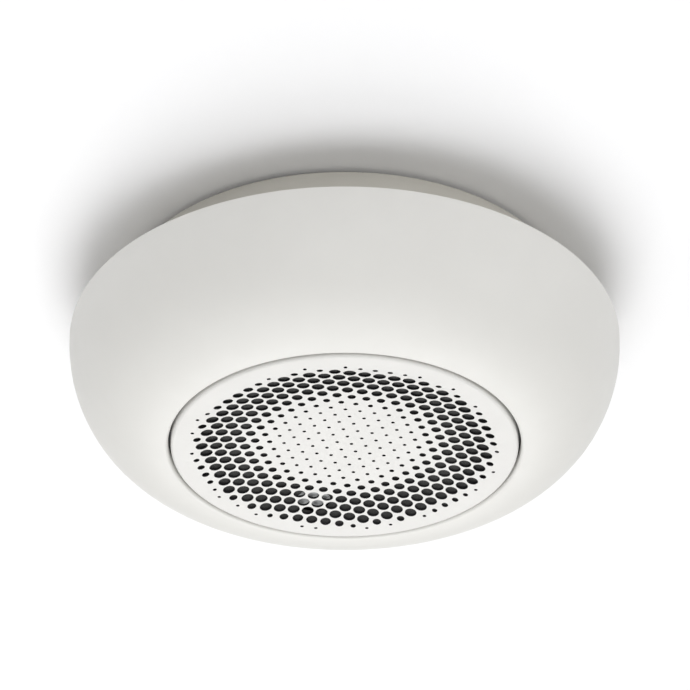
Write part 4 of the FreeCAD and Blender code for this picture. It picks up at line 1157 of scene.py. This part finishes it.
# ----------------------------------------------------------------- small parts
@dataclass
class ScrewSet:
    """Identical pan-head screws with a cross recess, in a ring.

    The crown that holds the recess is a thin slab set in the dome, so the
    edges round it have three faces and a screw isn't one closed solid.
    """

    name: str
    node: str
    seat_mm: float
    head_radius_mm: float
    head_height_mm: float
    shank_radius_mm: float
    length_mm: float
    orbit_mm: float
    first: float
    head_up: bool = True
    arm_share: float = 0.55
    arm_width_share: float = 0.14
    recess_share: float = 0.45
    dome_end: float = 52.0
    crown_mm: float = 0.01
    sides: int = 36

    def screw(self) -> Shape:
        """Return one screw whose seat is at its own height."""
        way = 1.0 if self.head_up else -1.0
        head, tall, shank = self.head_radius_mm, self.head_height_mm, self.shank_radius_mm
        arm, half = head * self.arm_share, head * self.arm_width_share
        dome = arc((0.0, 0.0), (head, tall), 0.0, self.dome_end, 8)
        reach, top = dome[-1]
        outline = [(0.0, -self.length_mm - shank), (shank, -self.length_mm), (shank, 0.0)] + dome
        corners, faces = lathe(outline, self.sides, closed=False)
        cross = [(arm, -half), (arm, half), (half, half), (half, arm), (-half, arm), (-half, half),
                 (-arm, half), (-arm, -half), (-half, -half), (-half, -arm), (half, -arm),
                 (half, -half)]
        crown = slab(circle_loop(reach, self.sides), [], top - self.crown_mm, top, [cross],
                     tall * self.recess_share)
        shape = joined([(corners, faces), crown])
        return [(x, y, self.seat_mm + way * z) for x, y, z in shape[0]], shape[1]

    def build(self) -> None:
        """Build the whole set."""
        made = new_object(self.name, solid_mesh(self.name, self.screw()))
        ring_of_copies(made, 4, self.orbit_mm, self.first, ZINC.build())
        settle(made, UNIT_BODY, "zinc_steel", self.node)


@dataclass
class StatusLamp:
    """The satin lens behind the grille, and its light guide on the outer side."""

    face_mm: float = -42.3
    seat_mm: float = -41.6
    radius_mm: float = 4.5
    edge_mm: float = 0.3
    margin_mm: float = 0.4
    guide_mm: float = 2.5
    guide_top_mm: float = -30.3
    guide_shift_mm: float = 3.5

    def centre(self) -> tuple[float, float]:
        """Return where the lens stands; its near side is the part's near side."""
        low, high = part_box("led_lens")
        return (low.x + high.x) / 2.0 / MM, low.y / MM + self.radius_mm

    def build(self) -> None:
        """Build the lens where the frame has it."""
        x, y = self.centre()
        edge = self.edge_mm
        rim = arc((self.radius_mm - edge, self.face_mm + edge), (edge, edge), -90.0, 0.0, 5)
        outline = [(0.0, self.face_mm)] + rim + [(self.radius_mm, self.seat_mm), (0.0, self.seat_mm)]
        corners, faces = lathe(outline, 72, closed=False)
        head = [(across + x, along + y, height) for across, along, height in corners], faces
        guide = slab(circle_loop(self.guide_mm, 40, (x, y + self.guide_shift_mm)), [],
                     self.face_mm + self.margin_mm, self.guide_top_mm)
        lens = new_object("lamp_lens", solid_mesh("lamp_lens", joined([head, guide])))
        dress(lens.data, LENS)
        settle(lens, UNIT_BODY, "frosted_lens", "led_lens")


@dataclass
class TamperSpring:
    """The plunger's return spring: a round-wire coil."""

    wire_mm: float = 0.25
    turns: float = 7.0
    turn_steps: int = 28
    wire_sides: int = 10

    def tool(self, radius: float, height: float) -> NodeTool:
        """Return the tree that winds the wire.

        Args:
            radius: Radius of the coil's middle line, in metres.
            height: Height of the middle line, in metres.

        Returns:
            The tree.
        """
        tool = NodeTool("wire_coil", {
            "Coil Radius": radius, "Height": height, "Turns": self.turns,
            "Wire Radius": self.wire_mm * MM}, {
            "Turn Steps": self.turn_steps, "Wire Sides": self.wire_sides}, ["Material"])
        path = tool.add("GeometryNodeCurveSpiral", inputs={
            "Resolution": tool.value("Turn Steps"), "Rotations": tool.value("Turns"),
            "Start Radius": tool.value("Coil Radius"), "End Radius": tool.value("Coil Radius"),
            "Height": tool.value("Height")})
        section = tool.add("GeometryNodeCurvePrimitiveCircle", inputs={
            "Resolution": tool.value("Wire Sides"), "Radius": tool.value("Wire Radius")})
        wire = tool.add("GeometryNodeCurveToMesh", inputs={
            "Curve": path.outputs["Curve"], "Profile Curve": section.outputs["Curve"],
            "Fill Caps": True})
        real = tool.add("GeometryNodeRealizeInstances", inputs={"Geometry": wire.outputs["Mesh"]})
        painted = tool.add("GeometryNodeSetMaterial", inputs={
            "Geometry": real.outputs["Geometry"], "Material": tool.value("Material")})
        tool.tree.links.new(painted.outputs["Geometry"], tool.exit.inputs["Geometry"])
        return tool

    def build(self) -> None:
        """Build the spring where the frame has it, held at both ends."""
        low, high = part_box("tamper_spring")
        wire = self.wire_mm * MM
        x, y = (low.x + high.x) / 2.0, (low.y + high.y) / 2.0
        spring = new_object("plunger_spring", bpy.data.meshes.new("plunger_spring"))
        self.tool((high.x - low.x) / 2.0 - wire, high.z - low.z - 2.0 * wire).run(
            spring, {"Material": NICKEL.build()})
        spring.data.transform(Matrix.Translation((x, y, low.z + wire)))
        seal(spring.data)
        spring.data.shade_smooth()
        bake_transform(spring)
        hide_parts("tamper_spring")
        LOG.info("%s: %d faces", spring.name, len(spring.data.polygons))


# ----------------------------------------------------------------------- stage
@dataclass
class Stage:
    """The ceiling, the floor, the lights and the camera."""

    ceiling_colour: str = "fcfcfd"
    floor_colour: str = "ebebec"
    ceiling_half: float = 6.0
    ceiling_height: float = 0.0002
    opening_radius: float = 0.0535
    floor_height: float = -1.3
    target: tuple[float, float, float] = (0.0001, -0.0486, -0.0453)
    distance: float = 0.7309
    elevation: float = 33.21
    lens: float = 161.1
    aim: tuple[float, float, float] = (0.0, 0.0, -0.03)

    def ceiling(self) -> None:
        """Make the ceiling: pale from below, and clear from above.

        A view from above looks through it.  It is open behind the plate, so
        that light from above reaches the plate's back and nothing else.
        """
        made = bpy.data.materials.new("ceiling_paint")
        made.use_nodes = True
        tree = made.node_tree
        shader = tree.nodes["Principled BSDF"]
        shader.inputs["Base Color"].default_value = linear(self.ceiling_colour)
        shader.inputs["Roughness"].default_value = 0.9
        shader.inputs["Specular IOR Level"].default_value = 0.1
        side = add_node(tree, "ShaderNodeNewGeometry").outputs["Backfacing"]
        clear = add_node(tree, "ShaderNodeBsdfTransparent").outputs["BSDF"]
        mixed = add_node(tree, "ShaderNodeMixShader", inputs={
            0: side, 1: shader.outputs["BSDF"], 2: clear})
        tree.links.new(mixed.outputs["Shader"], tree.nodes["Material Output"].inputs["Surface"])
        half, sides = self.ceiling_half, 96
        corners = [(-half, -half), (half, -half), (half, half), (-half, half)]
        loops = [corners, circle_loop(self.opening_radius, sides)]
        spots = [(x, y, self.ceiling_height) for loop in loops for x, y in loop]
        triangles = tessellate_polygon([[Vector((x, y, 0.0)) for x, y in loop] for loop in loops])
        mesh = bpy.data.meshes.new("ceiling")
        mesh.from_pydata(spots, [], [downward(spots, triangle) for triangle in triangles])
        mesh.materials.append(made)
        new_object("ceiling", mesh)

    def floor(self) -> None:
        """Make the plain pale floor, a room's height below."""
        made = bpy.data.materials.new("floor_paint")
        made.use_nodes = True
        shader = made.node_tree.nodes["Principled BSDF"]
        shader.inputs["Base Color"].default_value = linear("a0a09e")
        shader.inputs["Roughness"].default_value = 0.9
        shader.inputs["Emission Color"].default_value = linear(self.floor_colour)
        shader.inputs["Emission Strength"].default_value = 0.2
        half = 9.0
        mesh = bpy.data.meshes.new("floor")
        height = self.floor_height
        mesh.from_pydata([(-half, -half, height), (half, -half, height), (half, half, height),
                          (-half, half, height)], [], [(0, 1, 2, 3)])
        mesh.materials.append(made)
        new_object("floor", mesh)

    def area(self, name: str, place: tuple[float, float, float], size: float,
             power: float) -> None:
        """Add a soft square lamp.

        Args:
            name: The lamp's name.
            place: Where it stands, in metres.
            size: Length of its sides, in metres.
            power: Watts.
        """
        data = bpy.data.lights.new(name, "AREA")
        data.shape = "SQUARE"
        data.size = size
        data.energy = power
        lamp = bpy.data.objects.new(name, data)
        bpy.context.scene.collection.objects.link(lamp)
        lamp.location = place
        lamp.rotation_mode = "QUATERNION"
        lamp.rotation_quaternion = (Vector(self.aim) - Vector(place)).to_track_quat("-Z", "Y")

    def light(self) -> None:
        """Light the room softly, mostly from below and from the far side."""
        self.area("below", (0.0, 0.0, -1.25), 1.2, 6.9)
        self.area("far_side", (0.0, 0.95, -0.95), 0.8, 6.4)
        self.area("near_side", (0.0, -1.5, -0.35), 0.6, 3.9)
        self.area("right_side", (1.3, -0.6, -0.35), 0.6, 3.3)
        self.area("left_side", (-0.95, 0.0, -0.95), 0.8, 2.2)
        self.area("overhead", (0.4, -0.5, 1.5), 1.0, 16.0)
        world = bpy.data.worlds.new("studio_air")
        world.use_nodes = True
        world.node_tree.nodes["Background"].inputs["Color"].default_value = linear("fefefe")
        world.node_tree.nodes["Background"].inputs["Strength"].default_value = 0.24
        bpy.context.scene.world = world

    def camera(self) -> None:
        """Look up at the siren from the near side."""
        data = bpy.data.cameras.new("camera")
        data.lens = self.lens
        data.sensor_width = 36.0
        data.clip_start, data.clip_end = 0.05, 30.0
        data.dof.use_dof = False
        eye = bpy.data.objects.new("camera", data)
        bpy.context.scene.collection.objects.link(eye)
        tilt = math.radians(self.elevation)
        forward = Vector((0.0, math.cos(tilt), math.sin(tilt)))
        eye.location = Vector(self.target) - forward * self.distance
        eye.rotation_mode = "QUATERNION"
        eye.rotation_quaternion = forward.to_track_quat("-Z", "Y")
        bpy.context.scene.camera = eye

    def build(self) -> None:
        """Build everything round the siren."""
        self.ceiling()
        self.floor()
        self.light()
        self.camera()
        scene = bpy.context.scene
        scene.view_settings.view_transform = "Standard"
        scene.view_settings.look = "None"


def dress_frame() -> None:
    """Give every CAD node the finish of its slot."""
    slots = {part["node"]: part["material_slot"] for part in frame["record"]["subparts"]}
    for name, node in frame["nodes"].items():
        dress(node.data, FINISH_OF_SLOT[slots[name]])


def main() -> None:
    """Build the siren and its stage, then report each piece."""
    logging.basicConfig(level=logging.INFO, format="%(message)s")
    dress_frame()
    FrontShell().build()
    Grille().build()
    RearHousing().build()
    CeilingPlate().build()
    StatusLamp().build()
    TamperSpring().build()
    ScrewSet("tray_screws", "housing_screws", -17.0, 2.6, 1.6, 1.4, 10.0, 61.0, 0.0).build()
    ScrewSet("baffle_screws_set", "baffle_screws", -36.6, 2.3, 1.4, 1.1, 4.0, 52.5, 45.0).build()
    ScrewSet("speaker_screws_set", "speaker_screws", -37.8, 2.1, 1.3, 1.0, 3.4, 30.0, 45.0).build()
    ScrewSet("board_screws_set", "board_screws", -28.2, 2.4, 1.5, 1.2, 6.5, 58.5, 45.0,
             False).build()
    Stage().build()


if __name__ == "__main__":
    main()
